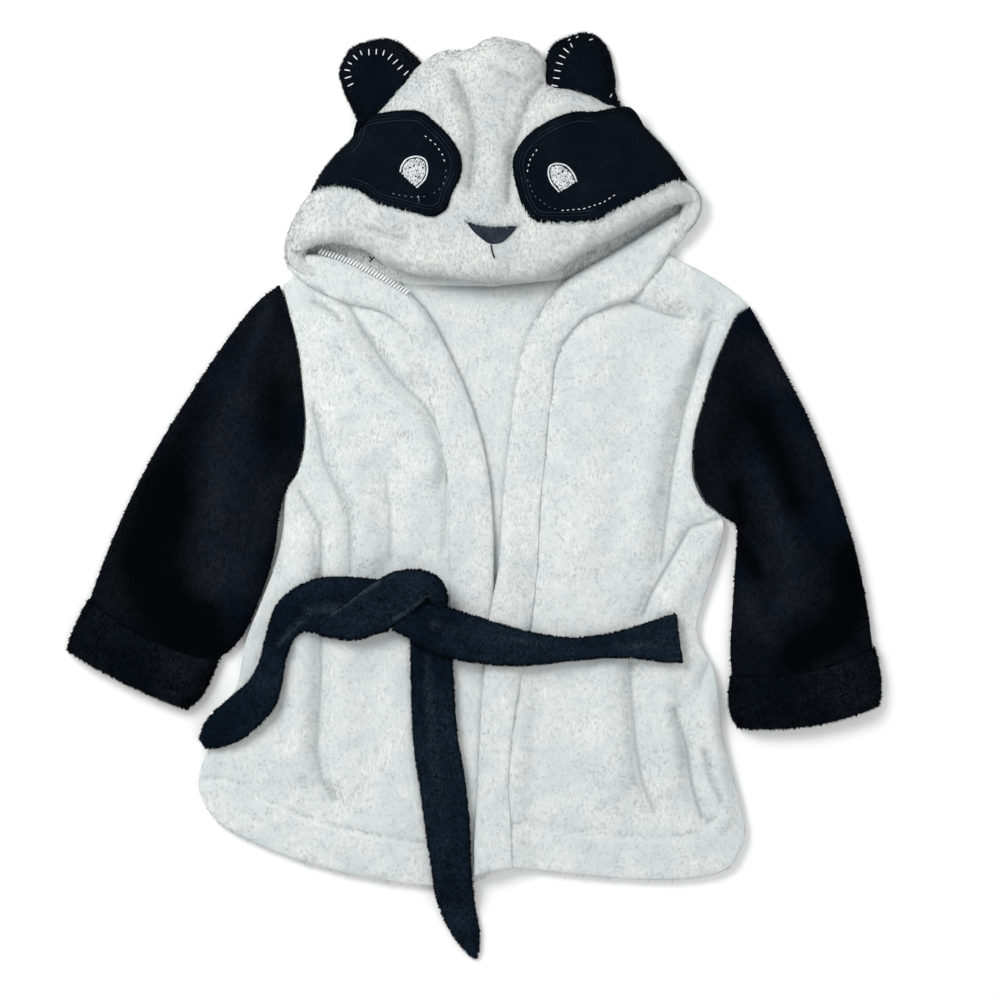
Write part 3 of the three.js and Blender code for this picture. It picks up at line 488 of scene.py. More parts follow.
# Black sewing yarn along the patches' stitched ridges, coloured a little lighter than the velour: a
# painted highlight where the ridges catch the light
ridgeYarn = clothMaterial("sewingYarnBlack", {
    **plushLook, "shade": "#1B222A", "light": "#232B33", "fleck": "#333C45", "driftSize": 9,
    "roughness": 0.6,
})
# Spun polyester serging thread, bright and hard beside the pile
serging = clothMaterial("spunThreadWhite", {
    **fleeceLook, "shade": "#E6E9E9", "light": "#F6F8F8", "grainSize": 0.5, "roughness": 0.7,
})
# Spun black sewing thread: dull, with a little lint
blackThread = clothMaterial("spunThreadBlack", {**plushLook, "shade": "#14181D", "light": "#22272D"})
print("robe: materials made")


# Pile

tuftLook = {
    "length": (0.65, 1.15), "radius": (0.7, 1.2),   # least and most of the pile's own
    "fromAbove": 0.25, "leastHeight": 0.15, "shadeScatter": 0.15, "mottleSeed": 7,
}


def growPile(name, shape, pile, material, keep=None, paintedLight=()):
    # Tufts are spread over the shape's faces by area, more of them where it turns down at an edge:
    # weight = area * (1 + edgeGain * (1 - upward part of the normal)). Each is a cone on three
    # points round its root. Its tip lies along rise * normal + nap + scatter, the nap turned by a
    # slow ripple and less any part of it that would run into the cloth. Its shade is level +
    # mottle * ripple + the strokes of painted light and shade + scatter.
    random = np.random.default_rng(pile["seed"])
    points, faces = shape
    corners = triangles(faces)
    normals = vertexNormals(points, corners)
    a, b, c = (points[corners[:, k]] for k in range(3))
    cross = np.cross(b - a, c - a)
    area = np.linalg.norm(cross, axis=1) / 2
    upward = cross[:, 2] / np.maximum(2 * area, 1e-9)
    weight = area * (upward > pile["leastRise"]) * (1 + pile["edgeGain"] * (1 - upward))
    if keep is not None:
        weight = weight * keep(*((a + b + c) / 3)[:, :2].T)
    count = int(weight.sum() * pile["density"])
    corner = corners[random.choice(len(corners), count, p=weight / weight.sum())]
    s, t = random.random((2, count))
    s, t = np.where(s + t > 1, 1 - s, s)[:, None], np.where(s + t > 1, 1 - t, t)[:, None]
    root, normal = (
        rows[corner[:, 0]] * (1 - s - t) + rows[corner[:, 1]] * s + rows[corner[:, 2]] * t
        for rows in (points, normals))
    normal = unit(normal)
    swirl = pile["swirl"] * ripple(root[:, 0], root[:, 1], pile["swirlSize"], pile["seed"])
    napX, napY = pile["nap"]
    nap = np.stack([
        napX * np.cos(swirl) - napY * np.sin(swirl),
        napX * np.sin(swirl) + napY * np.cos(swirl),
        np.zeros(count),
    ], -1)
    nap -= normal * np.minimum((nap * normal).sum(1, keepdims=True), 0)
    heading = pile["rise"] * normal + nap + random.normal(0, pile["scatter"], (count, 3))
    mottle = ripple(*root[:, :2].T, pile["fleckSize"], pile["seed"] + tuftLook["mottleSeed"])
    shade = pile["level"] + pile["mottle"] * mottle + foldRelief(root[:, 0], root[:, 1], paintedLight)
    shade = np.clip(shade + random.normal(0, tuftLook["shadeScatter"], count), 0, 1)
    return tufts(name, root, normal, heading, shade, pile, random, material)


def tufts(name, root, normal, heading, shade, pile, random, material):
    # Closed cones from three points round each root to its tip, lit mostly as the cloth they stand
    # on: normal of a point = cloth's normal + ownLight * direction from the tuft's axis + fromAbove,
    # because light also reaches a tuft through its neighbours. The tip value is the shade at the
    # tip and a share of it at the root.
    count = len(root)
    length = pile["length"] * random.uniform(*tuftLook["length"], (count, 1))
    across = unit(np.cross(normal, random.normal(size=(count, 3))))
    beside = np.cross(normal, across)
    radius = pile["width"] / 2 * random.uniform(*tuftLook["radius"], (count, 1))
    out = [math.cos(k) * across + math.sin(k) * beside for k in np.arange(3) * 2 * math.pi / 3]
    foot = root - normal * pile["sink"]
    points = np.stack([*(foot + radius * way for way in out), root + unit(heading) * length], 1)
    lit = normal + [0, 0, tuftLook["fromAbove"]]
    light = np.stack([*(lit + pile["ownLight"] * way for way in out), lit], 1)
    points, light = points.reshape(-1, 3), light.reshape(-1, 3)
    points[:, 2] = np.maximum(points[:, 2], tuftLook["leastHeight"])
    cone = np.array([[0, 1, 3], [1, 2, 3], [2, 0, 3], [0, 2, 1]])
    faces = (np.arange(count)[:, None, None] * 4 + cone).reshape(-1, 3)
    tip = np.column_stack([shade * pile["rootShare"]] * 3 + [shade]).ravel()
    piece = meshPiece(name, (points, [faces]), material, tip=tip)
    piece.data.normals_split_custom_set_from_vertices(unit(light))
    return piece


fleecePile = {
    "density": 0.2, "edgeGain": 4.5, "length": 2.4, "width": 1.1, "rise": 0.16, "nap": (0.0, -1.0),
    "swirl": 0.7, "swirlSize": 26, "scatter": 0.07, "leastRise": 0.02, "fleckSize": 11, "ownLight": 0.05,
    "sink": 0.08, "level": 0.6, "mottle": 0.3, "rootShare": 0, "seed": 1,
}
plushPile = {
    "density": 0.3, "edgeGain": 1.8, "length": 2.1, "width": 1.2, "rise": 0.55, "nap": (0.0, -0.8),
    "swirl": 0.7, "swirlSize": 30, "scatter": 0.24, "leastRise": 0.0, "fleckSize": 12, "ownLight": 0.25,
    "sink": 0.3, "level": 0.6, "mottle": 0.3, "rootShare": 0, "seed": 2,
}
pileDepth = 1.0     # how far the knitted ground lies below the pile's tips


def keptThick(height, least):
    # Soft lower limit: least + (d + sqrt(d squared + 1)) / 2, where d = height - least
    spare = height - least
    return least + (spare + np.sqrt(spare ** 2 + 1)) / 2


# Body: the same section tables as the pattern, shoulder to hem

missing = float("nan")
leftSections = np.array([
    # side x, side y, seam x, seam y, edge x, edge y
    [missing, missing, -133, 170, -120, 169.5], [missing, missing, -131, 162, -106, 169.5],
    [-134, 148, -125, 155, -93, 166], [-132, 139, -111, 145, -80, 161],
    [-129, 127, -90, 136, -64, 153], [-125, 112, -70, 131, -46, 143],
    [-122, 96, -53, 122, -32, 128], [-120, 76, -41, 103, -19, 104], [-118, 55, -34, 79, -8, 80],
    [-119, 34, -27, 55, 1, 55], [-124, 16, -21, 30, 8, 28], [-132, 3, -17, 2, 12, 0],
    [-134, -24, -17, -32, 14, -32], [-140, -50, -17, -66, 14, -66],
    [-150, -76, -16, -100, 14, -100], [-160, -102, -15, -134, 13, -134],
    [-166, -132, -15, -168, 13, -168], [-178, -152, -15, -196, 12, -196],
    [-188, -181, -15, -220, 12, -220], [-193, -197, -15, -240, 11, -240],
    [-192, -208, -15, -256, 11, -256], [-188, -218, -15, -267, 11, -264],
    [-180, -228, -15, -274, 6, -267],
])
rightSections = np.array([
    # side x, side y, seam x, seam y, edge x, edge y
    [missing, missing, 158, 206, 152, 203.5], [missing, missing, 155, 196, 141, 197],
    [missing, missing, 146, 181, 127, 189], [191, 132, 135, 169, 113, 180],
    [184, 127, 127, 155, 97, 170], [180, 119, 112, 140, 81, 161], [176, 110, 94, 133, 66, 152],
    [171, 98, 76, 124, 53, 139], [165, 82, 63, 110, 42, 122], [160, 64, 56, 92, 33, 100],
    [155, 46, 54, 70, 29, 76], [153, 30, 51, 48, 26, 50], [154, 12, 49, 22, 23, 24],
    [162, -5, 46, -4, 20, -4], [174, -16, 45, -32, 18.5, -32], [174, -30, 44, -52, 17, -52],
    [169, -48, 42, -72, 13, -72], [161, -72, 38, -98, 9, -98], [156, -92, 34, -120, 7, -122],
    [161, -108, 30, -142, 5, -146], [168, -121, 27, -162, 4, -168], [172, -143, 25, -184, 3, -190],
    [174, -166, 24, -204, 2, -210], [180, -190, 25, -224, 1, -229], [187, -217, 26, -240, 0, -244],
    [190, -237, 26, -252, 0, -257], [183, -252, 27, -260, -0.5, -266],
])
body = {
    "seat": 3.9,            # height of the fronts' underside, on the back panel
    "cloth": 4.2, "edge": 1.8, "sideTurn": 8, "hemTurn": 9, "rowStep": 12, "seamGap": -0.6,
    "crowding": 0.35, "hemLineStep": 6, "soft": ((0.5, 46), (0.3, 13)), "hollowShare": 0.6,
    "seamDip": 0.9, "seamDipWidth": 5, "seamCut": 0.2, "seamCutWidth": 2, "mostHollow": 3.2,
    "hemDepth": 30,         # the turned hem's stitching, above the edge
    "hemCrease": 1.6, "hemCreaseWidth": 2.2,
    "overlap": 5.3,         # lift of the right front where it lies on the left one
    "bareInCrease": 0.9,    # share of the tufts that is missing where the pile parts
    "lapStart": -18, "lapLength": 26, "lapSide": 46, "lapWidth": 24,
    "foldGain": 1.4,        # the folds stand sharper here than in the solids
    "least": 0.9,           # thinnest cloth, at the bottom of a crease
}
leftFront = {
    # hem and shoulder: bow, place of its peak across the front, rows that it reaches over
    "firstRow": 2, "hem": (12, 0.45, 4), "shoulder": (0, 0.5, 3), "rows": 150, "across": 126, "seed": 11,
    "folds": [
        # rise, half width, path
        (-2.4, 6, [
            (-89.5, 136), (-66, 97.5), (-56, 83.5), (-36, 65), (-24.5, 47.5), (-19, 31), (-19.5, 10)]),
        (-1.3, 4, [(-20, 8), (-20, -12), (-20.5, -36)]),
        (3.2, 11, [(-96, 120), (-76, 84), (-58, 66), (-38, 46), (-32, 20)]),
        (-1.6, 4, [(-112, 135), (-94.5, 126)]),
        (1.8, 8, [(-76, 118), (-58, 104), (-48, 88)]),
        (-2.2, 5, [(-113, 61), (-109, 45), (-106, 25), (-94.5, 1), (-87.5, -16), (-87, -54)]),
        (2.8, 12, [(-98, 50), (-84, 10), (-74, -40)]),
        (-1.3, 9, [(-62, 14), (-59, -11), (-58, -46)]),
        (-2.5, 5, [
            (-123, 4), (-108, -22), (-107.5, -54), (-107.5, -123), (-110.5, -178), (-106.5, -200),
            (-98.5, -213)]),
        (3.2, 12, [(-124, -40), (-124, -110), (-124, -190)]),
        (2.2, 13, [(-92, -84), (-92, -196)]),
        (1.5, 22, [(-52, -120), (-50, -230)]),
    ],
}
rightFront = {
    "firstRow": 3, "hem": (15, 0.25, 4), "shoulder": (5.5, 0.32, 3), "rows": 150, "across": 120,
    "seed": 12,
    "folds": [
        # rise, half width, path
        (-2.2, 7, [(109, 137), (134, 128), (147, 125)]),
        (2.8, 11, [(126, 150), (158, 138)]),
        (-2.3, 6, [(166, 122), (147, 60), (139, 20), (131, -45)]),
        (3.0, 12, [(150, 104), (130, 56), (122, 18), (114, -34)]),
        (1.8, 15, [(84, 100), (78, 40), (76, -40)]),
        (-2.6, 5, [(174, -14), (151, -22), (133.5, -52), (124, -68), (118, -83)]),
        (2.4, 9, [(164, -34), (148, -56), (140, -76)]),
        (-2.2, 5, [(109, -116), (110.5, -144), (113, -174), (117.5, -200), (126, -221)]),
        (2.6, 12, [(92, -124), (97, -205)]),
        (-2.6, 5, [(141, -151), (148.5, -174), (153, -204), (159, -224), (165, -229)]),
        (-1.6, 4, [(164, -116), (157.5, -133)]),
        (-1.6, 4, [(162, -181), (165.5, -197), (173, -215)]),
        (2.8, 10, [(134, -130), (138, -200)]),
        (2.6, 9, [(163, -150), (172, -196), (176, -222)]),
    ],
}


def besideSeam(sections, distance):
    # The seam's points, moved towards the free edge by a distance
    seam, edge = sections[:, 2:4], sections[:, 4:6]
    return seam + unit(edge - seam) * distance


def noLift(x, y):
    return np.zeros(np.shape(x))


def lapLift(x, y):
    # Full below the crossing of the fronts and left of the band, with a smooth step on both ways in
    along = np.clip((body["lapStart"] - y) / body["lapLength"], 0, 1)
    across = np.clip((body["lapSide"] - x) / body["lapWidth"], 0, 1)
    return body["overlap"] * along * across ** 2 * (3 - 2 * across)


def edgeBow(edge, share, rowsAway):
    # A lopsided parabola across the front, which grows over the few rows next to the edge
    bow, peak, reach = edge
    near = np.clip(1 - rowsAway / reach, 0, 1)
    bent = share ** (math.log(0.5) / math.log(peak))
    return bow * near ** 2 * 4 * bent * (1 - bent)


def frontShape(sections, front, lift):
    # Ruled from side edge to band seam, raised by the folds and soft ripples, turned over at the
    # edges, with a shallow crease where the hem is stitched
    used = sections[front["firstRow"]:]
    rows = len(used) - 1
    row = np.linspace(0, rows, front["rows"])
    share = eased(front["across"], body["crowding"])[None, :]
    side = smoothRows(used[:, :2], row)[:, None]
    seam = smoothRows(besideSeam(used, -body["seamGap"] / 2), row)[:, None]
    row = row[:, None]
    x, y = ruled(side, seam, share)
    y = y + edgeBow(front["shoulder"], share, row) - edgeBow(front["hem"], share, rows - row)
    across = np.linalg.norm(side - seam, axis=-1)
    edge = np.minimum(
        turned(share * across, body["sideTurn"]),
        turned((rows - row) * body["rowStep"], body["hemTurn"]))
    edge = np.minimum(edge, turned(row * body["rowStep"] + 2, body["sideTurn"]))
    fromSeam = (1 - share) * across
    dip = body["seamDip"] * bell(fromSeam, body["seamDipWidth"])
    dip = dip + body["seamCut"] * bell(fromSeam, body["seamCutWidth"])
    relief = body["foldGain"] * foldRelief(x, y, front["folds"])
    hemLine = np.stack([x[-1], y[-1]], -1)[::body["hemLineStep"]]
    fromStitching = distanceTo(x, y, hemLine) - body["hemDepth"]
    crease = body["hemCrease"] * bell(fromStitching, body["hemCreaseWidth"])
    soft = softness(x, y, body["soft"], front["seed"]) + creaseLines(x, y, front["folds"])
    seat = body["seat"] + lift(x, y)
    bottom = seat + np.clip(body["hollowShare"] * relief, 0, body["mostHollow"]) * edge
    top = seat + body["edge"] + (body["cloth"] + relief + soft - dip - crease - body["edge"]) * edge
    top = bottom + keptThick(top - pileDepth * edge - bottom, body["least"])
    return sheetShape(x, y, top, bottom)


bandLook = {
    "cloth": 4.8, "rollRise": 3.4, "rollStart": 60, "rollFull": 140, "across": 15, "rowsEach": 8,
    "crowding": 0.7, "soft": ((0.45, 30), (0.3, 10)), "seamTurn": 7,
    "sewn": 1.9, "pucker": 1.3, "puckerSize": 17,   # how far along its turn it is sewn, how unevenly
}


def bandShape(sections, lift, seed):
    # Ruled from the seam to the free edge, rounded over both, fuller towards the neck
    rows = len(sections) - 1
    row = np.linspace(0, rows, rows * bandLook["rowsEach"])
    share = eased(bandLook["across"], bandLook["crowding"])[None, :]
    seam = smoothRows(besideSeam(sections, body["seamGap"] / 2), row)[:, None]
    edge = smoothRows(sections[:, 4:6], row)[:, None]
    row = row[:, None]
    x, y = ruled(seam, edge, share)
    width = np.linalg.norm(edge - seam, axis=-1)
    sewn = bandLook["sewn"] + bandLook["pucker"] * ripple(x, y, bandLook["puckerSize"], seed + 2)
    rounded = np.minimum(
        turned(share * width + sewn, bandLook["seamTurn"]),
        turned((1 - share) * width, body["hemTurn"]))
    end = turned((rows - row) * body["rowStep"], body["hemTurn"])
    rollLength = bandLook["rollFull"] - bandLook["rollStart"]
    roll = bandLook["rollRise"] * np.clip((y - bandLook["rollStart"]) / rollLength, 0, 1)
    bottom = body["seat"] + lift(x, y)
    rise = bandLook["cloth"] + roll + softness(x, y, bandLook["soft"], seed) - body["edge"]
    top = bottom + keptThick(body["edge"] + (rise - pileDepth) * rounded * end, body["least"])
    return sheetShape(x, y, top, bottom)


fronts = {
    # sections, look, lift, flat size and area of the front, flat size of the band
    "left": (leftSections, leftFront, noLift, (0.19, 0.43), 0.060, (0.026, 0.52)),
    "right": (rightSections, rightFront, lapLift, (0.17, 0.44), 0.058, (0.027, 0.56)),
}
for seed, (side, (sections, front, lift, flat, area, bandFlat)) in enumerate(fronts.items()):
    folds = front["folds"]
    cloth = frontShape(sections, front, lift)
    piece = meshPiece(f"front_{side}_cloth", cloth, whiteFleece, [f"front_{side}"],
                      folds=folds)
    pile = growPile(f"front_{side}_pile", cloth, {**fleecePile, "seed": 20 + seed}, whitePile,
                    keep=lambda x, y: 1 - body["bareInCrease"] * paintedCreaseShare(x, y, folds))
    bandCloth = bandShape(sections, lift, 30 + seed)
    band = meshPiece(f"band_{side}_cloth", bandCloth, whiteFleece,
                     [f"front_band_{side}"])
    bandPile = growPile(f"band_{side}_pile", bandCloth,
                        {**fleecePile, "seed": 40 + seed, "density": 0.3}, whitePile)
print("robe: fronts and bands made")


# Back and hood back, which lie on the floor

neckSeam = np.array([[-125, 155.5], [-52, 148], [11, 147], [74, 153], [135, 168.5]])
back = {
    "cloth": 3.5, "bevel": 1.0, "across": 70, "rows": 70, "pile": 1.2, "rimTurn": 3, "rimStep": 3,
    "soft": 0.25, "softSize": 24, "softSeed": 5, "bowSteps": 12,
    "tuck": 1.3,    # how far its sides and hem stay back under the fronts' rounded edges
    "tuckFrom": (0, -20), "tuckLength": 20,     # where that starts at the left and at the right
    "shown": [(-10, 150), (10, 60), (14, 0)],   # the path that it shows along, between the fronts
    "shownReach": 62, "shownEnd": -20,
}


def linedUp(path, count):
    # The path's points, spread evenly by length
    path = np.asarray(path, float)
    run = np.concatenate([[0], np.cumsum(np.linalg.norm(np.diff(path, axis=0), axis=1))])
    at = np.linspace(0, run[-1], count)
    return np.stack([np.interp(at, run, path[:, 0]), np.interp(at, run, path[:, 1])], -1)


def coonsPatch(left, right, first, last):
    # Two ruled surfaces between facing edges, added, less the bilinear one through the corners
    s = np.linspace(0, 1, len(first))[None, :, None]
    t = np.linspace(0, 1, len(left))[:, None, None]
    between = (1 - s) * left[:, None] + s * right[:, None] + (1 - t) * first[None] + t * last[None]
    corners = (1 - s) * (1 - t) * first[0] + s * (1 - t) * first[-1]
    corners = corners + (1 - s) * t * last[0] + s * t * last[-1]
    return between - corners


def flatSheet(grid):
    # A layer that lies on the floor: its underside is level, its rim is rounded by the bevel
    x, y = grid[..., 0], grid[..., 1]
    rim = np.concatenate([grid[0], grid[1:, -1], grid[-1, ::-1], grid[-2::-1, 0]])[::back["rimStep"]]
    turn = turned(distanceTo(x, y, np.vstack([rim, rim[:1]])), back["rimTurn"])
    top = back["bevel"] + (back["cloth"] - back["bevel"]) * turn - back["pile"] * turn
    top += back["soft"] * ripple(x, y, back["softSize"], back["softSeed"]) * turn
    return sheetShape(x, y, top, np.zeros_like(top))


def bowedEdge(section, edge, direction):
    # The line across one section, bowed out
    share = np.linspace(0, 1, back["bowSteps"])
    x, y = ruled(section[:2], section[2:4], share)
    return np.column_stack([x, y + direction * edgeBow(edge, share, 0)])


leftSide = linedUp(leftSections[leftFront["firstRow"]:, :2], back["rows"])
rightSide = linedUp(rightSections[rightFront["firstRow"]:, :2], back["rows"])
for edge, tuck, start in zip((leftSide, rightSide), (back["tuck"], -back["tuck"]), back["tuckFrom"]):
    edge[:, 0] += tuck * np.clip((start - edge[:, 1]) / back["tuckLength"], 0, 1)
rightShoulder = bowedEdge(rightSections[rightFront["firstRow"]], rightFront["shoulder"], 1)[::-1]
shoulder = np.vstack([leftSections[2:3, :2], neckSeam - [0, body["seamGap"]], rightShoulder])
hemEdge = np.vstack([
    bowedEdge(leftSections[-1], leftFront["hem"], -1),
    bowedEdge(rightSections[-1], rightFront["hem"], -1)[::-1],
]) + [0, back["tuck"]]
hemEdge[[0, -1]] = leftSide[-1], rightSide[-1]
backShape = flatSheet(coonsPatch(
    leftSide, rightSide, linedUp(shoulder, back["across"]), linedUp(hemEdge, back["across"])))
backPanel = meshPiece("back_panel_cloth", backShape, whiteFleece, ["back_panel"])
backPile = growPile(
    "back_panel_pile", backShape, {**fleecePile, "seed": 50, "density": 0.25, "leastRise": 0.3},
    whitePile,
    keep=lambda x, y: (distanceTo(x, y, back["shown"]) < back["shownReach"]) & (y > back["shownEnd"]))
print("robe: back made")


# Straps and rolls of cloth: a rounded section carried along a path

strapCorners = np.array([
    (-0.86, 0), (0.86, 0), (1, 0.3), (1, 0.62), (0.86, 0.9), (0.45, 1),
    (-0.45, 1), (-0.86, 0.9), (-1, 0.62), (-1, 0.3),
])
strapLook = {
    "rowsEach": 9, "around": 28, "pileInset": 1.1, "lift": 0.3, "soft": 0.35, "softSize": 16,
    "bareInCrease": 0.8,
    "sides": 1.6,   # how fast the folds and ripples grow from the underside up the strap's sides
}


def strapShape(rows, folds, seed):
    # A rounded section, closed through ten corner shares, carried along the strap's smooth path
    table = np.array(rows, float)
    row = np.linspace(0, len(table) - 1, (len(table) - 1) * strapLook["rowsEach"] + 1)
    x, y, width, under, thick = smoothRows(table, row).T[:, :, None]
    run = unit(np.gradient(np.column_stack([x, y]), axis=0))
    section = roundedOutline(strapCorners, strapLook["around"])
    side = section[None, :, 0] * (width / 2 - strapLook["pileInset"])
    placeX = x - run[:, 1:] * side
    placeY = y + run[:, :1] * side
    up = np.clip(section[None, :, 1], 0, 1)
    soft = strapLook["soft"] * ripple(placeX, placeY, strapLook["softSize"], seed)
    soft = (foldRelief(placeX, placeY, folds) + soft) * np.clip(up * strapLook["sides"], 0, 1)
    lift = strapLook["lift"]
    z = under + lift + up * (thick - lift - strapLook["pileInset"]) + soft
    return rodShape(np.dstack([placeX, placeY, z]))


# Hood: sections from the crown seam to the lip of the brim

hoodSections = np.array([
    # crown x, crown y, lip x, lip y
    [-133, 171.5, -119.5, 171.5], [-131, 183, -108, 176], [-125, 197, -97, 177], [-116, 211, -86, 175],
    [-105, 231, -74, 171], [-87.5, 249.5, -64, 163], [-72, 266, -52, 158], [-55, 285, -38, 154],
    [-38, 302, -24, 152.5], [-22, 312, -11, 150.5], [-4, 313, 1, 149], [10, 321, 12, 148.5],
    [24, 320.5, 23, 148.5], [39, 316, 34, 149.5], [49.5, 305.5, 44, 151], [51, 288, 53, 155],
    [67, 286.5, 62, 160], [85, 281, 72, 167], [104, 269, 84, 173.5], [122, 257, 95, 179],
    [137, 241, 107, 185.5], [148, 225, 121, 193.5], [155, 214, 137, 202.5], [158.5, 208, 152.5, 206],
])
hood = {
    "height": 24, "cloth": 3.4, "brimRise": 4, "brimTurn": 16, "brimRoll": 8, "lipDrop": 6,
    "mouthDrop": 9, "mouthTurn": 13, "crownTurn": 34, "rowsEach": 8, "steps": 62, "crowding": 0.5,
    "soft": ((0.5, 38), (0.3, 12)), "softSeed": 61, "creaseShare": 0.8, "cornerSeed": 64,
    "backAcross": 90, "backSteps": 44, "sewnPoints": 60, "sewnEdge": 0.8,
    "insideReach": 30,          # how far from the lip the inside's pile is seen
    "hidden": (6, 56),          # the middle of the stretch where the brim hides it, and half of it
    "folds": [
        # rise, half width, path
        (-2.8, 5, [(-14, 296), (-6, 280), (-1, 262), (1, 248), (-3, 214)]),
        (2.4, 8, [(-24, 292), (-14, 264), (-10, 244)]),
        (2.4, 9, [(8, 296), (13, 250), (11, 205)]),
        (-2.4, 5, [(34, 262), (26, 238), (24, 206)]),
        (-3.0, 5, [(48, 290), (38, 276), (36, 268)]),
        (-1.8, 6, [(12, 300), (34, 288), (44, 296)]),
        (2.2, 9, [(58, 276), (74, 280), (92, 273)]),
        (2.0, 14, [(-46, 268), (-28, 284)]),
        (2.4, 16, [(10, 190), (12, 174)]),
        (-1.6, 8, [(-72, 186), (-46, 178)]),
    ],
}
crownSeam, lipLine = hoodSections[:, :2], hoodSections[:, 2:]


def hoodSurface(x, y):
    # A dome that rises from the crown seam, with a rounded brim and a rolled lip
    sewn = turned(distanceTo(x, y, crownSeam), hood["crownTurn"])
    fromLip = distanceTo(x, y, lipLine)
    brim = bell(fromLip - hood["brimTurn"], hood["brimTurn"])
    lip = 1 - turned(fromLip, hood["brimRoll"])
    rise = hood["height"] + hood["brimRise"] * brim - hood["lipDrop"] * lip
    rise = rise + foldRelief(x, y, hood["folds"])
    hollow = hood["height"] - hood["cloth"] - hood["mouthDrop"] * bell(fromLip, hood["mouthTurn"])
    rimTop = body["seat"] + hood["cloth"]
    top = rimTop + (rise - rimTop) * sewn
    bottom = body["seat"] + (np.minimum(hollow, rise - hood["cloth"]) - body["seat"]) * sewn
    return top, bottom


def hoodTop(x, y):
    return hoodSurface(x, y)[0]


def onHood(spots, lift):
    # The spots at the dome's height plus a lift
    return np.column_stack([spots, hoodTop(*spots.T) + lift])


def hoodShape():
    # The dome's two layers between crown and lip, with the pile's depth taken off the top
    row = np.linspace(0, len(hoodSections) - 1, (len(hoodSections) - 1) * hood["rowsEach"])
    share = eased(hood["steps"], hood["crowding"])[None, :]
    x, y = ruled(smoothRows(crownSeam, row)[:, None], smoothRows(lipLine, row)[:, None], share)
    top, bottom = hoodSurface(x, y)
    soft = softness(x, y, hood["soft"], hood["softSeed"])
    soft = soft + creaseLines(x, y, hood["folds"]) * hood["creaseShare"]
    top = bottom + keptThick(top + soft - pileDepth - bottom, body["least"])
    return sheetShape(x, y, top, bottom)


# The brim's roll turns round at each end of the mouth and runs out on the lower lip
mouthCorners = [
    [
        # x, y, width, underside, thickness
        (-108.5, 183.5, 5, 12, 8), (-115, 180.5, 11, 9, 12), (-121.5, 176, 14, 5, 13),
        (-125, 170, 15, 3, 12.4), (-122.6, 163.6, 14, 3, 11), (-116, 158, 11, 3.6, 9.4),
        (-109, 154.5, 6, 4, 7.4),
    ],
    [
        (136.5, 219.5, 5, 11, 7), (143.6, 216, 11, 8.5, 10), (149.8, 211.6, 14, 5, 11.4),
        (152.6, 205, 15, 3, 12), (150.6, 196.5, 15, 3, 11), (145.6, 188.5, 12, 3.6, 9.6),
        (140, 181.5, 6, 4, 7.6),
    ],
]

# Outlines of what is sewn on the hood
outlines = {
    "patchLeft": [
        (-80, 264), (-62, 268), (-39, 268), (-27, 260), (-16, 249), (-9, 236), (-9, 224), (-15, 211),
        (-19, 200), (-27, 195), (-36, 195.5), (-55, 200), (-69, 204), (-78, 211), (-92, 215), (-104, 215),
        (-114, 212), (-110.5, 220), (-103.5, 231), (-94, 242), (-86, 249.5)],
    "patchRight": [
        (108, 272), (84, 268), (72, 268), (58, 264), (42, 255), (32, 245), (27, 233), (29, 218),
        (34, 202), (42, 192), (54, 190), (70, 190), (86, 192), (102, 201), (118, 209), (134, 217),
        (143, 220), (149, 221), (145.5, 227), (136, 240.5), (121.5, 256)],
    "nose": [
        (-5.6, 191.4), (-4.6, 191), (4, 188.6), (15, 187.5), (29, 188), (30.2, 187.6), (25.4, 181.4),
        (19.6, 176.6), (14.5, 175.2), (9.6, 175.9), (2, 181.8), (-2.6, 186.8)],
    "earLeft": [
        (-60, 262), (-76, 256), (-85, 271), (-94, 293), (-92, 305), (-85, 315), (-69, 320), (-57, 320),
        (-46, 313), (-37, 301), (-44, 280)],
    "earRight": [
        (74, 270), (50, 280), (48, 290), (50, 305), (56, 317), (70, 323.6), (80, 324.8), (88, 321),
        (95, 311), (99, 292), (99, 282), (103, 272), (96, 262)],
    "innerEarLeft": [
        (-56, 272), (-72, 266), (-82, 278), (-89, 294), (-86, 304), (-79, 310), (-70, 311), (-60, 309),
        (-51, 300), (-43, 288)],
    "innerEarRight": [
        (76, 276), (57, 280), (57, 292), (60, 305), (66, 314), (78, 317), (87, 314), (91, 304),
        (94, 288), (96, 274)],
}
outlines = {name: np.array(corners, float) for name, corners in outlines.items()}


def closedPath(outline):
    return np.vstack([outline, outline[:1]])


def isBareHood(x, y):
    # True on the hood's own cloth, away from what is sewn over it
    bare = np.ones(np.shape(x), bool)
    for name in ("patchLeft", "patchRight", "nose"):
        outline = roundedOutline(outlines[name], hood["sewnPoints"])
        fromEdge = distanceTo(x, y, closedPath(outline))
        bare &= ~(isInside(x, y, outline) & (fromEdge > hood["sewnEdge"]))
    return bare


corners = [strapShape(rows, [], hood["cornerSeed"]) for rows in mouthCorners]
hoodCloth = joined([hoodShape(), *corners])
# The hood's cloth and pile carry its painted shade
hoodFace = meshPiece("hood_face_cloth", hoodCloth, hoodFleecePaintedShade, ["hood_face"],
                     folds=hood["folds"])
hoodPile = growPile(
    "hood_face_pile", hoodCloth,
    {**fleecePile, "seed": 60, "density": 0.26, "rise": 0.36, "edgeGain": 3},
    hoodPilePaintedShade, keep=isBareHood)

lowerHood = np.vstack([[[-131.5, 163]], neckSeam, [[146, 181], [155, 196]]])
crownEdge = linedUp(crownSeam, hood["backAcross"])
lowerEdge = linedUp(lowerHood, hood["backAcross"])
downSteps = np.linspace(0, 1, hood["backSteps"])[:, None, None]
hoodBackShape = flatSheet(crownEdge[None] * (1 - downSteps) + lowerEdge[None] * downSteps)
hoodBack = meshPiece("hood_back_cloth", hoodBackShape, whiteFleece, ["hood_back"])


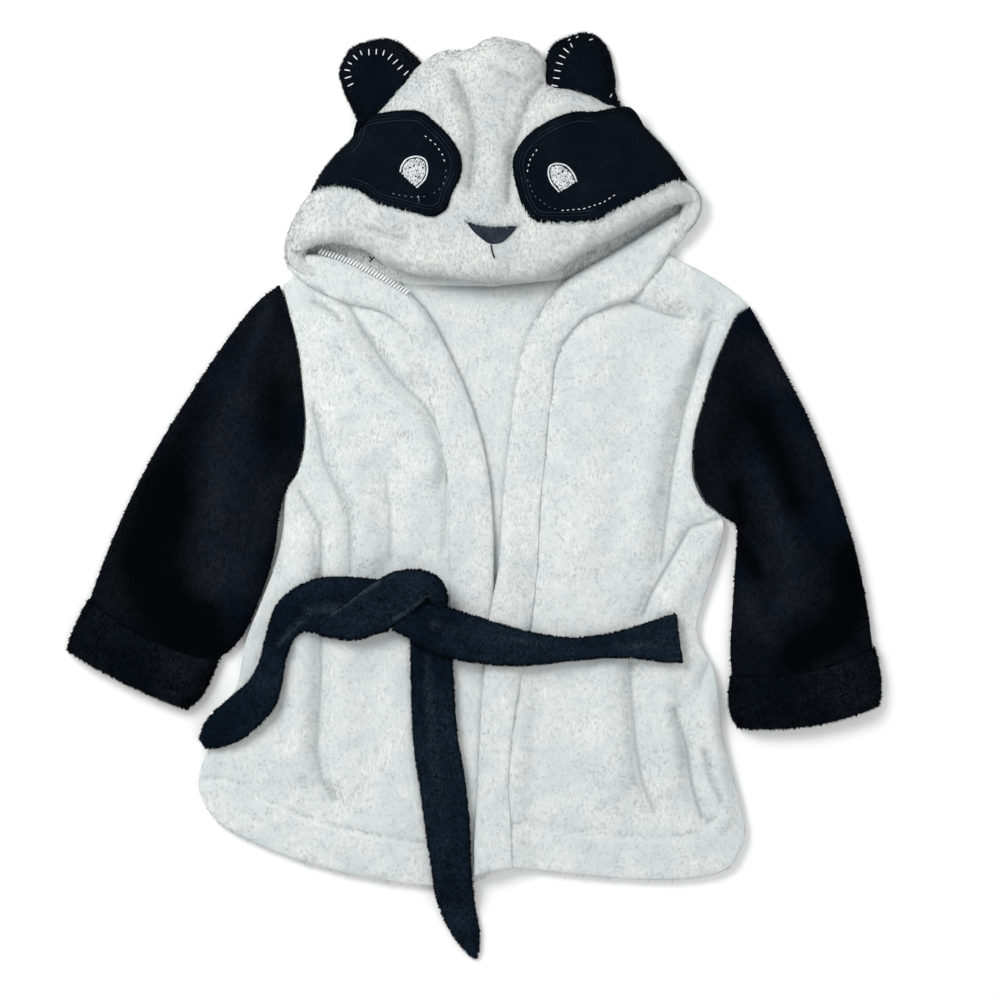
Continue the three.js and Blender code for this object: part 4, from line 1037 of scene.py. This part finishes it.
def isInsideSeen(x, y):
    # True where the inside of the hood shows through its mouth, on both sides of the brim's middle
    middle, half = hood["hidden"]
    return (distanceTo(x, y, lipLine) < hood["insideReach"]) & (abs(x - middle) > half)


# The inside's pile carries the painted shade of the hood's mouth
hoodBackPile = growPile(
    "hood_back_pile", hoodBackShape, {**fleecePile, "seed": 63, "density": 0.4, "leastRise": 0.3},
    hoodInsidePaintedShade, keep=isInsideSeen)
print("robe: hood made")


# Patches, nose and highlights, sewn flat over the dome

lastRing = 0.94


def shrinkingRings(outline, look):
    # Rings of the outline that shrink to its middle by 1 - step to the power crowding, and its rim
    rim = roundedOutline(outline, look["around"])
    middle = rim.mean(0)
    share = 1 - np.linspace(0, lastRing, look["rings"])[:, None, None] ** look["crowding"]
    place = middle + (rim - middle) * share
    return place[..., 0], place[..., 1], closedPath(rim)


def appliedShape(outline, look):
    # Rings at the dome's height. The edge turns down, and stitched ridges run beside it, each
    # depth * bell of the distance to the edge - its place.
    x, y, rim = shrinkingRings(outline, look)
    inward = distanceTo(x, y, rim)
    thick = look["high"] - look["low"]
    edge = look["edge"] + (1 - look["edge"]) * turned(inward, look["edgeTurn"])
    lift = look["low"] + thick * edge
    for depth, at, width in look["ridges"]:
        lift = lift + depth * bell(inward - at, width)
    surface = hoodTop(x, y)
    return discShape(x, y, surface + lift, surface + look["low"])


patch = {
    "rings": 30, "around": 150, "crowding": 1.5, "low": -1.3, "high": 1.9, "edge": 0.35, "edgeTurn": 2.2,
    "ridges": [(0.4, 2.2, 0.7), (0.35, 4.3, 0.7), (0.3, 6.4, 0.8), (-0.5, 9.5, 0.9)],
    "nap": {
        **plushPile, "seed": 70, "density": 1.3, "length": 1.3, "width": 0.9, "edgeGain": 0,
        "leastRise": 0.1,
    },
    "napReach": 3.2, "rimPoints": 90, "seams": (2.6, 4.8, 7.2), "seamRadius": 0.38, "seamSink": 0.1,
    "seamPoints": 120, "middle": 40, "seamReach": 46,   # the threads run within this of x = -40 or 40
    "cutCorner": 0.92,      # points nearer to the edge than this share of the inset are left out
}
noseLook = {
    "rings": 14, "around": 70, "crowding": 1.5, "low": -1.2, "high": 1.1, "edge": 0.35, "edgeTurn": 1.4,
    "ridges": [(0.3, 1.2, 0.5)],
}


def ridgeThread(outline, inset):
    # A thread round the patch's inner end, its points moved in from the outline along the normal
    rim = roundedOutline(outline, patch["seamPoints"])
    after = np.roll(rim, -1, axis=0)
    run = unit(after - np.roll(rim, 1, axis=0))
    winding = np.sign(np.sum(rim[:, 0] * after[:, 1] - rim[:, 1] * after[:, 0]))
    inner = rim + leftOf(run) * inset * winding
    near = np.abs(inner[:, 0] - patch["middle"] * np.sign(rim.mean(0)[0])) < patch["seamReach"]
    inner = np.roll(inner, -np.argmax(near & ~np.roll(near, 1)), axis=0)[:near.sum()]
    inner = inner[distanceTo(*inner.T, closedPath(rim)) > inset * patch["cutCorner"]]
    return threadAlong(onHood(inner, patch["high"] - patch["seamSink"]), patch["seamRadius"])


patchFlat = {"Left": (0.112, 0.078, 0.0062), "Right": (0.132, 0.086, 0.0078)}
for side, (width, length, area) in patchFlat.items():
    outline = outlines["patch" + side]
    node = f"eye_patch_{side.lower()}"
    shape = appliedShape(outline, patch)
    piece = meshPiece(node + "_velour", shape, blackVelour, [node])
    rim = closedPath(roundedOutline(outline, patch["rimPoints"]))
    # Tufts round the patch's rim, coloured with a painted highlight
    nap = growPile(node + "_nap", shape, patch["nap"], paintedHighlightVelour,
                   keep=lambda x, y: bell(distanceTo(x, y, rim), patch["napReach"]))
    seams = joined([ridgeThread(outline, inset) for inset in patch["seams"]])
    meshPiece(f"patch_seams_{side.lower()}", seams, ridgeYarn)
nose = meshPiece("nose_felt", appliedShape(outlines["nose"], noseLook), slateFelt,
                 ["nose"])


# Highlights. A row of the outline is a corner, and two rows close together keep a corner sharp.
glint = {
    "lift": 2.0, "outlineRadius": 0.55, "outlineSteps": 60, "inset": 1.5, "density": 2.6, "seed": 80,
    "stitch": 1.3, "stitchRadius": 0.26, "slant": 1.05, "slantScatter": 0.5, "liftScatter": 0.25,
}
glintEdges = {
    "Left": [
        (-51.3, 225.4), (-51, 226.6), (-50, 230), (-46.4, 234.5), (-39.6, 236.2), (-34, 233.9),
        (-32.3, 228), (-33.7, 221.1), (-38.6, 215.6), (-40.1, 214.6)],
    "Right": [
        (59.6, 211.7), (58.4, 212.6), (53.8, 218.2), (51.9, 224), (52.4, 228.4), (54.6, 230.5),
        (58.7, 231.2), (64.5, 229.6), (69.4, 224.1), (71.2, 219.6), (71.5, 218.6)],
}


def glintShape(edge):
    # Short satin stitches lie every way round one slant inside the outline, and a thread runs
    # round its curved side, a little apart from them
    edge = np.asarray(edge, float)
    thread = smoothRows(edge, np.linspace(0, len(edge) - 1, glint["outlineSteps"]))
    random = np.random.default_rng(glint["seed"])
    low, high = edge.min(0), edge.max(0)
    spots = random.uniform(low, high, (int(np.prod(high - low) * glint["density"]), 2))
    spots = spots[isInside(*spots.T, thread) & (distanceTo(*spots.T, thread) > glint["inset"])]
    slant = glint["slant"] + random.normal(0, glint["slantScatter"], len(spots))
    half = np.column_stack([np.cos(slant), np.sin(slant)]) * glint["stitch"] / 2
    lift = glint["lift"] + random.uniform(-glint["liftScatter"], glint["liftScatter"], len(spots))
    stitches = bars(onHood(spots - half, lift), onHood(spots + half, lift), glint["stitchRadius"])
    return joined([threadAlong(onHood(thread, glint["lift"]), glint["outlineRadius"]), stitches])


for side, edge in glintEdges.items():
    node = f"eye_glint_{side.lower()}"
    meshPiece(node + "_satin", glintShape(edge), silverThread, [node])
print("robe: face made")


# Ears: two layers of plush with a little padding, and a blanket-stitched inner piece

ear = {
    "height": 11, "edge": 3, "domeTurn": 15, "rings": 22, "around": 96, "crowding": 1.4,
    "rimHeights": (1.0, 2.2), "pileShare": 0.6, "pileTurn": 4,
    "innerLift": 0.2, "innerCloth": 1.3, "innerEdge": 0.3, "innerTurn": 1.6, "innerSink": 0.8,
    "pile": {**plushPile, "seed": 90, "density": 0.5, "length": 1.8},
    "nap": {**plushPile, "seed": 91, "density": 0.5, "length": 1.0, "width": 0.9, "leastRise": 0.2},
}


def earTop(x, y, outline):
    # Height of the padded ear: edge + (height - edge) * turned(distance to its rim)
    rim = closedPath(roundedOutline(outline, ear["around"]))
    return ear["edge"] + (ear["height"] - ear["edge"]) * turned(distanceTo(x, y, rim), ear["domeTurn"])


def earShape(outline):
    # The padded ear on the floor, its rim a little off it, with the pile's depth taken off the top
    x, y, rim = shrinkingRings(outline, ear)
    high = earTop(x, y, outline)
    low = np.zeros_like(high)
    low[0], high[0] = ear["rimHeights"]
    high -= pileDepth * ear["pileShare"] * turned(distanceTo(x, y, rim), ear["pileTurn"])
    return discShape(x, y, high, low)


def innerEarShape(outline, around):
    # The inner piece, which lies on the padded ear
    x, y, rim = shrinkingRings(outline, ear)
    high = earTop(x, y, around)
    edge = ear["innerEdge"] + (1 - ear["innerEdge"]) * turned(distanceTo(x, y, rim), ear["innerTurn"])
    top = high + ear["innerLift"] + ear["innerCloth"] * edge
    return discShape(x, y, top, high - ear["innerSink"])


for side in ("Left", "Right"):
    name = side.lower()
    outer = earShape(outlines["ear" + side])
    piece = meshPiece(f"ear_{name}_plush", outer, blackPlush, [f"ear_{name}"])
    growPile(f"ear_{name}_pile", outer, ear["pile"], blackPile)
    inner = innerEarShape(outlines["innerEar" + side], outlines["ear" + side])
    innerPiece = meshPiece(f"ear_inner_{name}_velour", inner, blackVelour,
                           [f"ear_inner_{name}"])
    innerNap = growPile(f"ear_inner_{name}_nap", inner, ear["nap"], blackPile)

blanket = {
    "from": -1.8, "to": 3.2, "sunk": (0.45, 1.1), "lift": 1.9, "looseLift": 1.6, "radius": 0.42,
    "arcPoints": 100, "dense": 400, "either": 3,
}
blanketArcs = {"Left": (0.32, 0.86, 15), "Right": (0.12, 0.42, 9)}     # from and to share, stitches


def onEar(spots, side, lift):
    # The spots at the padded ear's height plus a lift
    return np.column_stack([spots, earTop(*spots.T, outlines["ear" + side]) + lift])


def blanketStitches(side):
    # Short bars square to the inner ear's edge, at even steps between two shares of it, each of
    # its own length, as the thread has sunk in
    first, last, count = blanketArcs[side]
    arc = closedPath(roundedOutline(outlines["innerEar" + side], blanket["arcPoints"]))
    dense = linedUp(arc, blanket["dense"])
    reach = blanket["to"] * np.random.default_rng(count).uniform(*blanket["sunk"], (count, 1))
    end = blanket["dense"] - 1
    at = (np.linspace(first, last, count) * end).astype(int)
    run = dense[np.minimum(at + blanket["either"], end)] - dense[np.maximum(at - blanket["either"], 0)]
    square = -leftOf(unit(run))
    spots = dense[at] + square * blanket["from"], dense[at] + square * reach
    return bars(*(onEar(spot, side, blanket["lift"]) for spot in spots), blanket["radius"])


looseSpots = np.array([
    # start x, y and end x, y of single stitches on the right ear
    [(95.3, 279.2), (96.6, 281.6)], [(80.6, 319), (83.2, 320)], [(71.4, 321), (73, 321.8)],
    [(66, 319), (67.4, 320.2)],
]).transpose(1, 0, 2)
looseTicks = bars(*(onEar(spot, "Right", blanket["looseLift"]) for spot in looseSpots),
                  blanket["radius"])
ticks = joined([blanketStitches("Left"), blanketStitches("Right"), looseTicks])
meshPiece("ear_blanket_stitches", ticks, silverThread)


# Running stitches in silver on the patches, each dot a stitch that dips back into the velour

def runningStitch(path, step, share, radius):
    # Bars along the path, one each step, that cover a share of it
    dense = linedUp(path, stitchLook["dense"])
    length = np.linalg.norm(np.diff(dense, axis=0), axis=1).sum()
    count = max(2, int(length / step))
    first = np.arange(count) / count
    at = np.concatenate([first, first + share / count]) * (len(dense) - 1)
    spot = dense[np.minimum(at.astype(int), len(dense) - 1)]
    spot = onHood(spot, patch["high"] + stitchLook["lift"])
    return bars(spot[:count], spot[count:], radius)


stitchLook = {"dense": 300, "lift": 0.05}
patchStitches = {
    # path, step, share of it that shows, radius
    "bright": [
        ([(-34, 250.5), (-27, 245), (-22, 238), (-19.5, 230)], 3.9, 0.32, 0.42),
        ([(44, 241), (39.5, 235), (37.5, 228), (37, 223)], 3.9, 0.36, 0.4),
    ],
    "sunk": [
        ([(-19.3, 227), (-20, 219), (-24.5, 212.5), (-31, 209)], 3.9, 0.3, 0.26),
        ([(-34, 208.3), (-45, 208), (-59.5, 211)], 3.9, 0.32, 0.3),
        ([(-38.4, 208.8), (-38.2, 204.6)], 4.2, 0.95, 0.3),
        ([(37.3, 220), (42, 209), (52, 201), (60, 199)], 3.9, 0.3, 0.26),
    ],
    "half": [([(61, 198.5), (76, 199.5), (90, 204), (100, 210.5)], 3.6, 0.42, 0.36)],
}
for name, rows in patchStitches.items():
    dots = joined([runningStitch(*row) for row in rows])
    meshPiece(f"patch_stitches_{name}", dots, sunkThread if name == "sunk" else silverThread)
mouthLook = {"path": [(12, 174.5), (12.6, 170), (14.4, 165.2)], "steps": 14, "lift": 0.5, "radius": 0.5}
mouthPath = onHood(linedUp(mouthLook["path"], mouthLook["steps"]), mouthLook["lift"])
meshPiece("mouth_thread", threadAlong(mouthPath, mouthLook["radius"]), blackThread)

# The fleece's longest tips lie over the lower edges of the patches and the nose's upper edge
overlapTips = {
    **fleecePile, "length": 3.4, "width": 1.1, "seed": 95, "steps": 900, "perRow": 55, "spread": 0.7,
    "rootLift": -0.6, "leanOver": 0.75, "leanUp": 0.95, "leanScatter": 0.25, "level": 0.75,
}
lowerEdges = [
    # which way the tips lean in y, path
    (1, [(-114, 211), (-104, 214), (-92, 214), (-78, 210), (-69, 203), (-55, 199), (-36, 194.5)]),
    (1, [
        (34, 201), (42, 191), (54, 189), (70, 189), (86, 191), (102, 200), (118, 208), (134, 216),
        (143, 219)]),
    (-1, [(-7, 193.5), (8, 189.5), (20, 189), (31, 190)]),
]
for number, (way, path) in enumerate(lowerEdges):
    random = np.random.default_rng(overlapTips["seed"] + number)
    line = linedUp(path, overlapTips["steps"])
    count = len(path) * overlapTips["perRow"]
    spots = line[random.integers(0, len(line), count)]
    spots = spots + random.normal(0, overlapTips["spread"], (count, 2))
    upward = np.tile([0.0, 0.0, 1.0], (count, 1))
    lean = np.array([0.0, overlapTips["leanOver"] * way, overlapTips["leanUp"]])
    lean = lean + random.normal(0, overlapTips["leanScatter"], (count, 3))
    shade = overlapTips["level"] + random.normal(0, tuftLook["shadeScatter"], count)
    tufts(f"hood_tips_{number}", onHood(spots, overlapTips["rootLift"]), upward, lean,
          np.clip(shade, 0, 1), overlapTips, random, whitePile)

# The serged edge of the left band shows in the gap under the hood
serge = {
    "path": [(-107.5, 171.5), (-93, 166.6), (-80, 161), (-64, 152.8), (-47, 142.6)], "steps": 60,
    "ribs": 30, "half": 2.2, "slant": 0.6, "inner": 10.6, "outer": 8.4, "radius": 0.85,
}
serged = smoothRows(serge["path"], np.linspace(0, len(serge["path"]) - 1, serge["steps"]))
ribs = linedUp(serged, serge["ribs"])
ribRun = unit(np.gradient(ribs, axis=0))
ribAcross = leftOf(ribRun) * serge["half"] + ribRun * serge["slant"]
ribBars = bars(
    np.column_stack([ribs - ribAcross, np.full(serge["ribs"], serge["inner"])]),
    np.column_stack([ribs + ribAcross, np.full(serge["ribs"], serge["outer"])]), serge["radius"])
meshPiece("serged_edge", ribBars, serging)
lintRadius = 0.55
lint = bars([(-73.5, 163.5, 10.5), (-71.5, 165, 10.2), (-122.5, 164.5, 8.5)],
            [(-69.5, 167.5, 10.5), (-73, 168, 11), (-120.5, 163.5, 8.5)], lintRadius)
meshPiece("black_lint", lint, blackThread)
print("robe: ears and stitches made")


# Sleeves and cuffs, flattened tubes

sleeveLook = {
    "steps": 40, "rowsEach": 10, "crowding": 0.75, "edgeHeight": 4.4, "turn": 15, "underTurn": 6,
    "cloth": 2.2, "seamRows": 4, "seamPoints": 400, "soft": ((0.45, 34), (0.25, 12)),
    "armholeGap": 1.1,
    "undersideLift": 0.6,       # how far below the rim the underside's edge stays
    "insideGap": 0.2,           # how far the inner layers stay from the rim's height
}
sleeves = {
    "left": {
        "outward": -1, "armhole": (2, 11), "armEnds": [(-136.5, 148), (-136, -1.5)],
        "sections": [
            # outer x, outer y, inner x, inner y, bow, height
            (-136.5, 148, -136, -1.5, 0, 8.6), (-152, 136, -137, -11, 0, 10.5),
            (-170, 114, -138, -22, 0, 12), (-188, 88, -140, -38, 0, 13),
            (-205, 62, -145, -57, 1, 13), (-221, 36, -152, -76, 2, 13), (-236, 8, -159.5, -93, 3, 13),
            (-250, -22, -168, -105, 4, 12.6), (-262, -52, -175.5, -111, 6, 12.2),
            (-269.4, -73.2, -180.6, -116.4, 7, 11.8),
        ],
        "cuff": [
            (-270.6, -71.8, -179.4, -116.1, 7, 14.5), (-277, -85, -184, -127, 5, 15.5),
            (-282.6, -97, -191, -140, 3, 15), (-285.6, -107.5, -201, -149.5, 2.5, 13.5),
        ],
        "folds": [
            (-1.6, 9, [(-146, 60), (-176, 20), (-214, -34)]),
            (1.8, 13, [(-150, 20), (-186, -30), (-226, -72)]),
            (1.6, 12, [(-168, 84), (-206, 24), (-240, -40)]),
        ],
        "paintedLight": [
            # painted light and shade: lighter or darker by, half width, path
            (0.5, 5, [(-144, 132), (-158, 96), (-166, 80)]),
            (0.5, 15, [(-171, 72), (-181, 36), (-183, 0), (-184, -30), (-180, -58)]),
            (0.3, 16, [(-164, 50), (-166, 12), (-158, -24), (-166, -60)]),
            (-0.75, 24, [(-215, -6), (-228, -44), (-218, -72), (-204, -92)]),
            (-0.45, 12, [(-140, 74), (-142, 44)]),
            (-0.4, 14, [(-186, 62), (-205, 34), (-216, 10)]),
            (-0.5, 8, [(-186, -82), (-182, -104)]),
            (0.25, 4, [(-140, 12), (-150, -2)]),
        ],
        "flat": (0.30, 0.26), "area": 0.045, "cuffFlat": (0.205, 0.036),
    },
    "right": {
        "outward": 1, "armhole": (3, 14), "armEnds": [(193.5, 133), (177, -16)],
        "sections": [
            # outer x, outer y, inner x, inner y, bow, height
            (193.5, 133, 177, -16, 0, 8.6), (205, 112, 184, -20, 0, 10.5), (219, 85, 185, -28, 0, 12),
            (233, 58, 184, -40, 0, 13), (246, 27, 183, -54, 0, 13), (257, -4, 182, -68, 1, 13),
            (267, -36, 181, -84, 3, 13), (274, -68, 180, -100, 5, 12.6), (278, -94, 180, -114, 7, 12.2),
            (279.6, -107.3, 181, -126.4, 8, 11.8),
        ],
        "cuff": [
            (281.1, -106.2, 179.6, -125.8, 8, 14.5), (285, -123, 178.5, -139, 8, 15.5),
            (285.6, -137, 179.5, -152, 7, 15), (284, -146.5, 184.5, -162, 6.5, 13.5),
        ],
        "folds": [
            (-2.0, 8, [(180, 10), (196, -18), (207, -41)]),
            (2.0, 12, [(196, 26), (216, -14), (224, -40)]),
            (-2.0, 8, [(184, -56), (188, -88), (201, -114)]),
            (-1.6, 8, [(239, -43), (248, -66), (241, -88), (224, -94)]),
            (1.8, 11, [(214, -62), (222, -78)]),
        ],
        "paintedLight": [
            # painted light and shade: lighter or darker by, half width, path
            (0.5, 12, [(202, 18), (214, -22), (227, -56), (216, -78)]),
            (0.35, 8, [(190, -62), (197, -88), (210, -102)]),
            (0.3, 14, [(208, 96), (222, 66), (244, 20), (258, -16)]),
            (-0.75, 14, [(262, -46), (264, -72), (254, -94), (226, -110)]),
            (-0.65, 11, [(200, 58), (206, 42), (215, 18), (222, -4)]),
            (-0.5, 8, [(184, 6), (188, -28), (197, -54)]),
            (-0.3, 10, [(176, 30), (186, 84)]),
            (0.4, 3, [(190, -24), (206, -50)]),
            (0.3, 3, [(199, 24), (213, -14), (222, -40)]),
        ],
        "flat": (0.30, 0.26), "area": 0.042, "cuffFlat": (0.21, 0.034),
    },
}


def armholePath(sections, sleeve):
    # The front's side edge, moved squarely across the gap, between the armhole's two ends
    first, last = sleeve["armhole"]
    seam = sections[first:last + 1, :2]
    square = leftOf(unit(seam[2:] - seam[:-2])) * sleeve["outward"] * sleeveLook["armholeGap"]
    return np.vstack([sleeve["armEnds"][:1], seam[1:-1] + square, sleeve["armEnds"][1:]])


def sleeveLoops(rows, armhole, folds, inset, seed):
    # Each loop runs over the sleeve's top and back under it. Top height is edge + (crest - edge) *
    # turned(distance to edge), underside the same down to the floor, and the first loops bend to
    # the armhole by (1 - row / seamRows) squared.
    table = np.array(rows, float)
    row = np.linspace(0, len(table) - 1, (len(table) - 1) * sleeveLook["rowsEach"] + 1)
    outerX, outerY, innerX, innerY, bow, height = smoothRows(table, row).T[:, :, None]
    width = np.hypot(innerX - outerX, innerY - outerY)
    across = eased(sleeveLook["steps"], sleeveLook["crowding"])[None, :]
    share = inset / width + (1 - 2 * inset / width) * across
    downX, downY = (outerY - innerY) / width, (innerX - outerX) / width
    hang = bow * 4 * share * (1 - share) * np.where(downY > 0, -1, 1)
    x = outerX + (innerX - outerX) * share + downX * hang
    y = outerY + (innerY - outerY) * share + downY * hang
    if armhole is not None:
        bend = (np.clip(1 - row / sleeveLook["seamRows"], 0, 1) ** 2)[:, None]
        seam = linedUp(armhole, sleeveLook["seamPoints"])
        at = np.clip(share[0] * (len(seam) - 1), 0, len(seam) - 1)
        seamX, seamY = (np.interp(at, np.arange(len(seam)), seam[:, k]) for k in (0, 1))
        first = table[0]
        x = x + (seamX - first[0] - (first[2] - first[0]) * share[0]) * bend
        y = y + (seamY - first[1] - (first[3] - first[1]) * share[0]) * bend
    fromEdge = np.minimum(share, 1 - share) * width
    over = turned(fromEdge, sleeveLook["turn"])
    under = turned(fromEdge, sleeveLook["underTurn"])
    rim = sleeveLook["edgeHeight"]
    relief = (foldRelief(x, y, folds) + softness(x, y, sleeveLook["soft"], seed)) * over
    top = rim + (height - pileDepth - rim) * over + relief
    bottom = (rim - sleeveLook["undersideLift"]) * (1 - under)
    if inset > 0:
        top = np.maximum(top - sleeveLook["cloth"], rim + sleeveLook["insideGap"])
        bottom = np.minimum(bottom + sleeveLook["cloth"], rim - sleeveLook["insideGap"])
    return np.concatenate([np.dstack([x, y, top]), np.dstack([x, y, bottom])[:, ::-1]], 1)


def sleeveShape(rows, armhole, folds, seed):
    return tubeShape(sleeveLoops(rows, armhole, folds, 0, seed),
                     sleeveLoops(rows, armhole, folds, sleeveLook["cloth"], seed))


# The sleeves' pile: its level is the mid-tone that the strokes of painted light and shade raise and lower
sleevePile = {
    **plushPile, "width": 1.4, "leastRise": 0.02, "level": 0.5, "mottle": 0.07, "rootShare": 0.6,
}
crushedPile = {**plushPile, "density": 0.6, "scatter": 0.5, "fleckSize": 4, "ownLight": 0.6}
for seed, (side, sleeve) in enumerate(sleeves.items()):
    armhole = armholePath(leftSections if side == "left" else rightSections, sleeve)
    shape = sleeveShape(sleeve["sections"], armhole, sleeve["folds"], 100 + seed)
    # The sleeve's own cloth takes the same painted light and shade as its tip value
    groundPaintedLight = sleevePile["level"] + foldRelief(*shape[0][:, :2].T, sleeve["paintedLight"])
    piece = meshPiece(f"sleeve_{side}_cloth", shape, sleevePlushPaintedLight, [f"sleeve_{side}"],
                      tip=np.clip(groundPaintedLight, 0, 1))
    pile = growPile(f"sleeve_{side}_pile", shape, {**sleevePile, "seed": 110 + seed},
                    sleevePlushPaintedLight, paintedLight=sleeve["paintedLight"])
    cuffShape = sleeveShape(sleeve["cuff"], None, [], 120 + seed)
    cuff = meshPiece(f"cuff_{side}_cloth", cuffShape, blackPlush, [f"cuff_{side}"])
    cuffPile = growPile(f"cuff_{side}_pile", cuffShape, {**crushedPile, "seed": 130 + seed},
                        cuffPlush)
print("robe: sleeves made")


# Belt: a strap of plush folded double and sewn, lying in three stretches and a loose knot

belts = {
    "belt_left": [
        # x, y, width, underside, thickness
        (-60, -77, 36, 10.2, 7), (-74, -77, 40, 10.6, 7.2), (-90, -77.5, 43, 11.2, 7.4),
        (-106, -77, 41, 11.8, 7.4), (-119, -79.5, 34, 12, 7.4), (-128, -85, 28, 12, 7.6),
        (-134, -94, 22, 12, 8), (-138, -105, 19, 12, 8.4), (-141, -117, 19, 12, 8.4),
        (-145, -130, 23, 12, 8), (-151, -141, 27, 12, 7.6), (-161, -151, 29, 11, 7.4),
        (-172, -160, 28, 10, 7.2), (-182, -167, 22, 8.8, 6.6), (-190, -173, 10, 7.8, 5),
    ],
    "belt_right": [
        # x, y, width, underside, thickness
        (-57, -91, 7, 17.4, 5), (-50, -88.5, 20, 17.4, 6.6), (-40, -87.5, 31, 17.4, 7.6),
        (-22, -94, 34, 17.4, 8), (-4, -99, 33, 16.8, 8), (14, -103, 30, 15.4, 8), (32, -106, 26, 14, 8.2),
        (50, -107, 21, 11.6, 8.6), (68, -107, 17, 11, 9), (90, -105, 17, 11.4, 9),
        (108, -103, 21, 11.6, 8.6), (122, -101.5, 27, 11.6, 8), (133, -100.5, 32, 11.2, 7.6),
        (143, -99.3, 35.5, 10.8, 7),
    ],
    "belt_tail": [
        # x, y, width, underside, thickness
        (-30, -80, 28, 9.8, 7), (-30, -104, 30, 9.6, 7.2), (-29, -135, 31, 9.8, 7.2),
        (-27, -170, 32, 10, 7.2), (-22.5, -198, 33, 10, 7.2), (-18.5, -232, 32, 9.8, 7.2),
        (-16, -258, 29, 9.8, 7.2), (-14.5, -272, 28, 8.8, 7.2), (-13, -281, 27, 5, 7.4),
        (-11, -290, 25, 1, 7.6), (-8.5, -298, 23, 0, 7.4), (-4.5, -308, 19, 0, 7),
        (-1.5, -317.5, 12, 0, 6), (0.5, -324, 5, 0, 4),
    ],
    "belt_knot": [
        # x, y, width, underside, thickness
        (-108, -91, 13, 12.5, 7.5), (-98, -90, 20, 13.5, 8), (-84, -87, 28, 15, 8.5),
        (-67, -78, 33, 17, 9), (-51, -68, 33, 20, 10), (-39, -63.5, 26, 20, 11.6),
        (-30.5, -64, 20, 18, 12.6), (-26, -69, 16, 15, 13.6), (-25, -77, 14, 12, 13),
        (-27, -84, 12, 11, 8),
    ],
}
beltFolds = {
    # Lengthwise puckers and the creases of the knot: rise, half width, path
    "belt_left": [
        (-1.2, 5, [(-66, -84), (-112, -78), (-137, -104)]), (1.0, 5, [(-141, -120), (-170, -156)])],
    "belt_right": [
        (-1.0, 5, [(-30, -88), (14, -99), (48, -104)]), (-1.0, 4, [(100, -104), (140, -106)])],
    "belt_tail": [
        (-0.8, 5, [(-34, -110), (-31, -160), (-22, -214)]), (0.7, 6, [(-24, -150), (-16, -240)])],
    "belt_knot": [
        (-1.8, 3.2, [(-99, -82), (-82, -70), (-67, -60)]),
        (-1.6, 3, [(-56, -86), (-42, -77), (-31, -69)])],
}


for seed, (node, rows) in enumerate(belts.items()):
    folds = beltFolds[node]
    shape = strapShape(rows, folds, 140 + seed)
    piece = meshPiece(node + "_cloth", shape, beltPlush, [node], folds=folds)
    pile = growPile(
        node + "_pile", shape,
        {**plushPile, "seed": 150 + seed, "density": 0.42, "length": 1.9, "leastRise": -0.3},
        beltPile,
        keep=lambda x, y: 1 - strapLook["bareInCrease"] * paintedCreaseShare(x, y, folds))
print("robe: belt made")
print("robe: triangles", sum(triangleCounts.values()),
      "most", max(triangleCounts.items(), key=lambda item: item[1]))


# Floor, camera and lights

view = {
    "middle": (0.0182, -0.0028),    # the photograph's centre on the floor
    "width": 0.700,                 # what the square frame shows at the cloth's height
    "cloth": 0.010, "distance": 2.6, "sensor": 36.0, "clip": 0.05,
    "floorHalf": 3, "floorBelow": 0.0004, "floorRoughness": 0.9, "worldStrength": 0.57,
}
floorMesh = bpy.data.meshes.new("floor")
floorMesh.from_pydata(
    [(x * view["floorHalf"], y * view["floorHalf"], -view["floorBelow"])
     for x, y in ((-1, -1), (1, -1), (1, 1), (-1, 1))], [], [(0, 1, 2, 3)])
floor = bpy.data.objects.new("floor", floorMesh)
bpy.context.scene.collection.objects.link(floor)
# Matt white studio board
board = bpy.data.materials.new("studioBoardWhite")
board.use_nodes = True
boardShader = board.node_tree.nodes["Principled BSDF"]
boardShader.inputs["Base Color"].default_value = linear("#FFFFFF")
boardShader.inputs["Roughness"].default_value = view["floorRoughness"]
floorMesh.materials.append(board)

camera = bpy.data.objects.new("camera", bpy.data.cameras.new("camera"))
bpy.context.scene.collection.objects.link(camera)
camera.location = (*view["middle"], view["distance"])
camera.data.sensor_width = view["sensor"]
camera.data.lens = view["sensor"] * (view["distance"] - view["cloth"]) / view["width"]
camera.data.clip_start = view["clip"]
bpy.context.scene.camera = camera

lamps = {
    # name: place, size in metres, watts
    "windowSoftbox": ((-1.0, 0.9, 1.5), 0.9, 26),
    "fillSoftbox": ((1.0, -0.8, 1.9), 1.5, 9),
}
for name, (place, size, power) in lamps.items():
    lamp = bpy.data.objects.new(name, bpy.data.lights.new(name, "AREA"))
    bpy.context.scene.collection.objects.link(lamp)
    lamp.data.size = size
    lamp.data.energy = power
    lamp.location = place
    towards = -np.array(place)
    lamp.rotation_euler = (math.acos(-towards[2] / np.linalg.norm(towards)), 0,
                           math.atan2(towards[1], towards[0]) - math.pi / 2)
world = bpy.data.worlds.new("studio")
world.use_nodes = True
background = world.node_tree.nodes["Background"]
background.inputs["Color"].default_value = linear("#FFFFFF")
background.inputs["Strength"].default_value = view["worldStrength"]
bpy.context.scene.world = world
bpy.context.scene.view_settings.view_transform = "Standard"
print("robe: floor, camera and lights made")
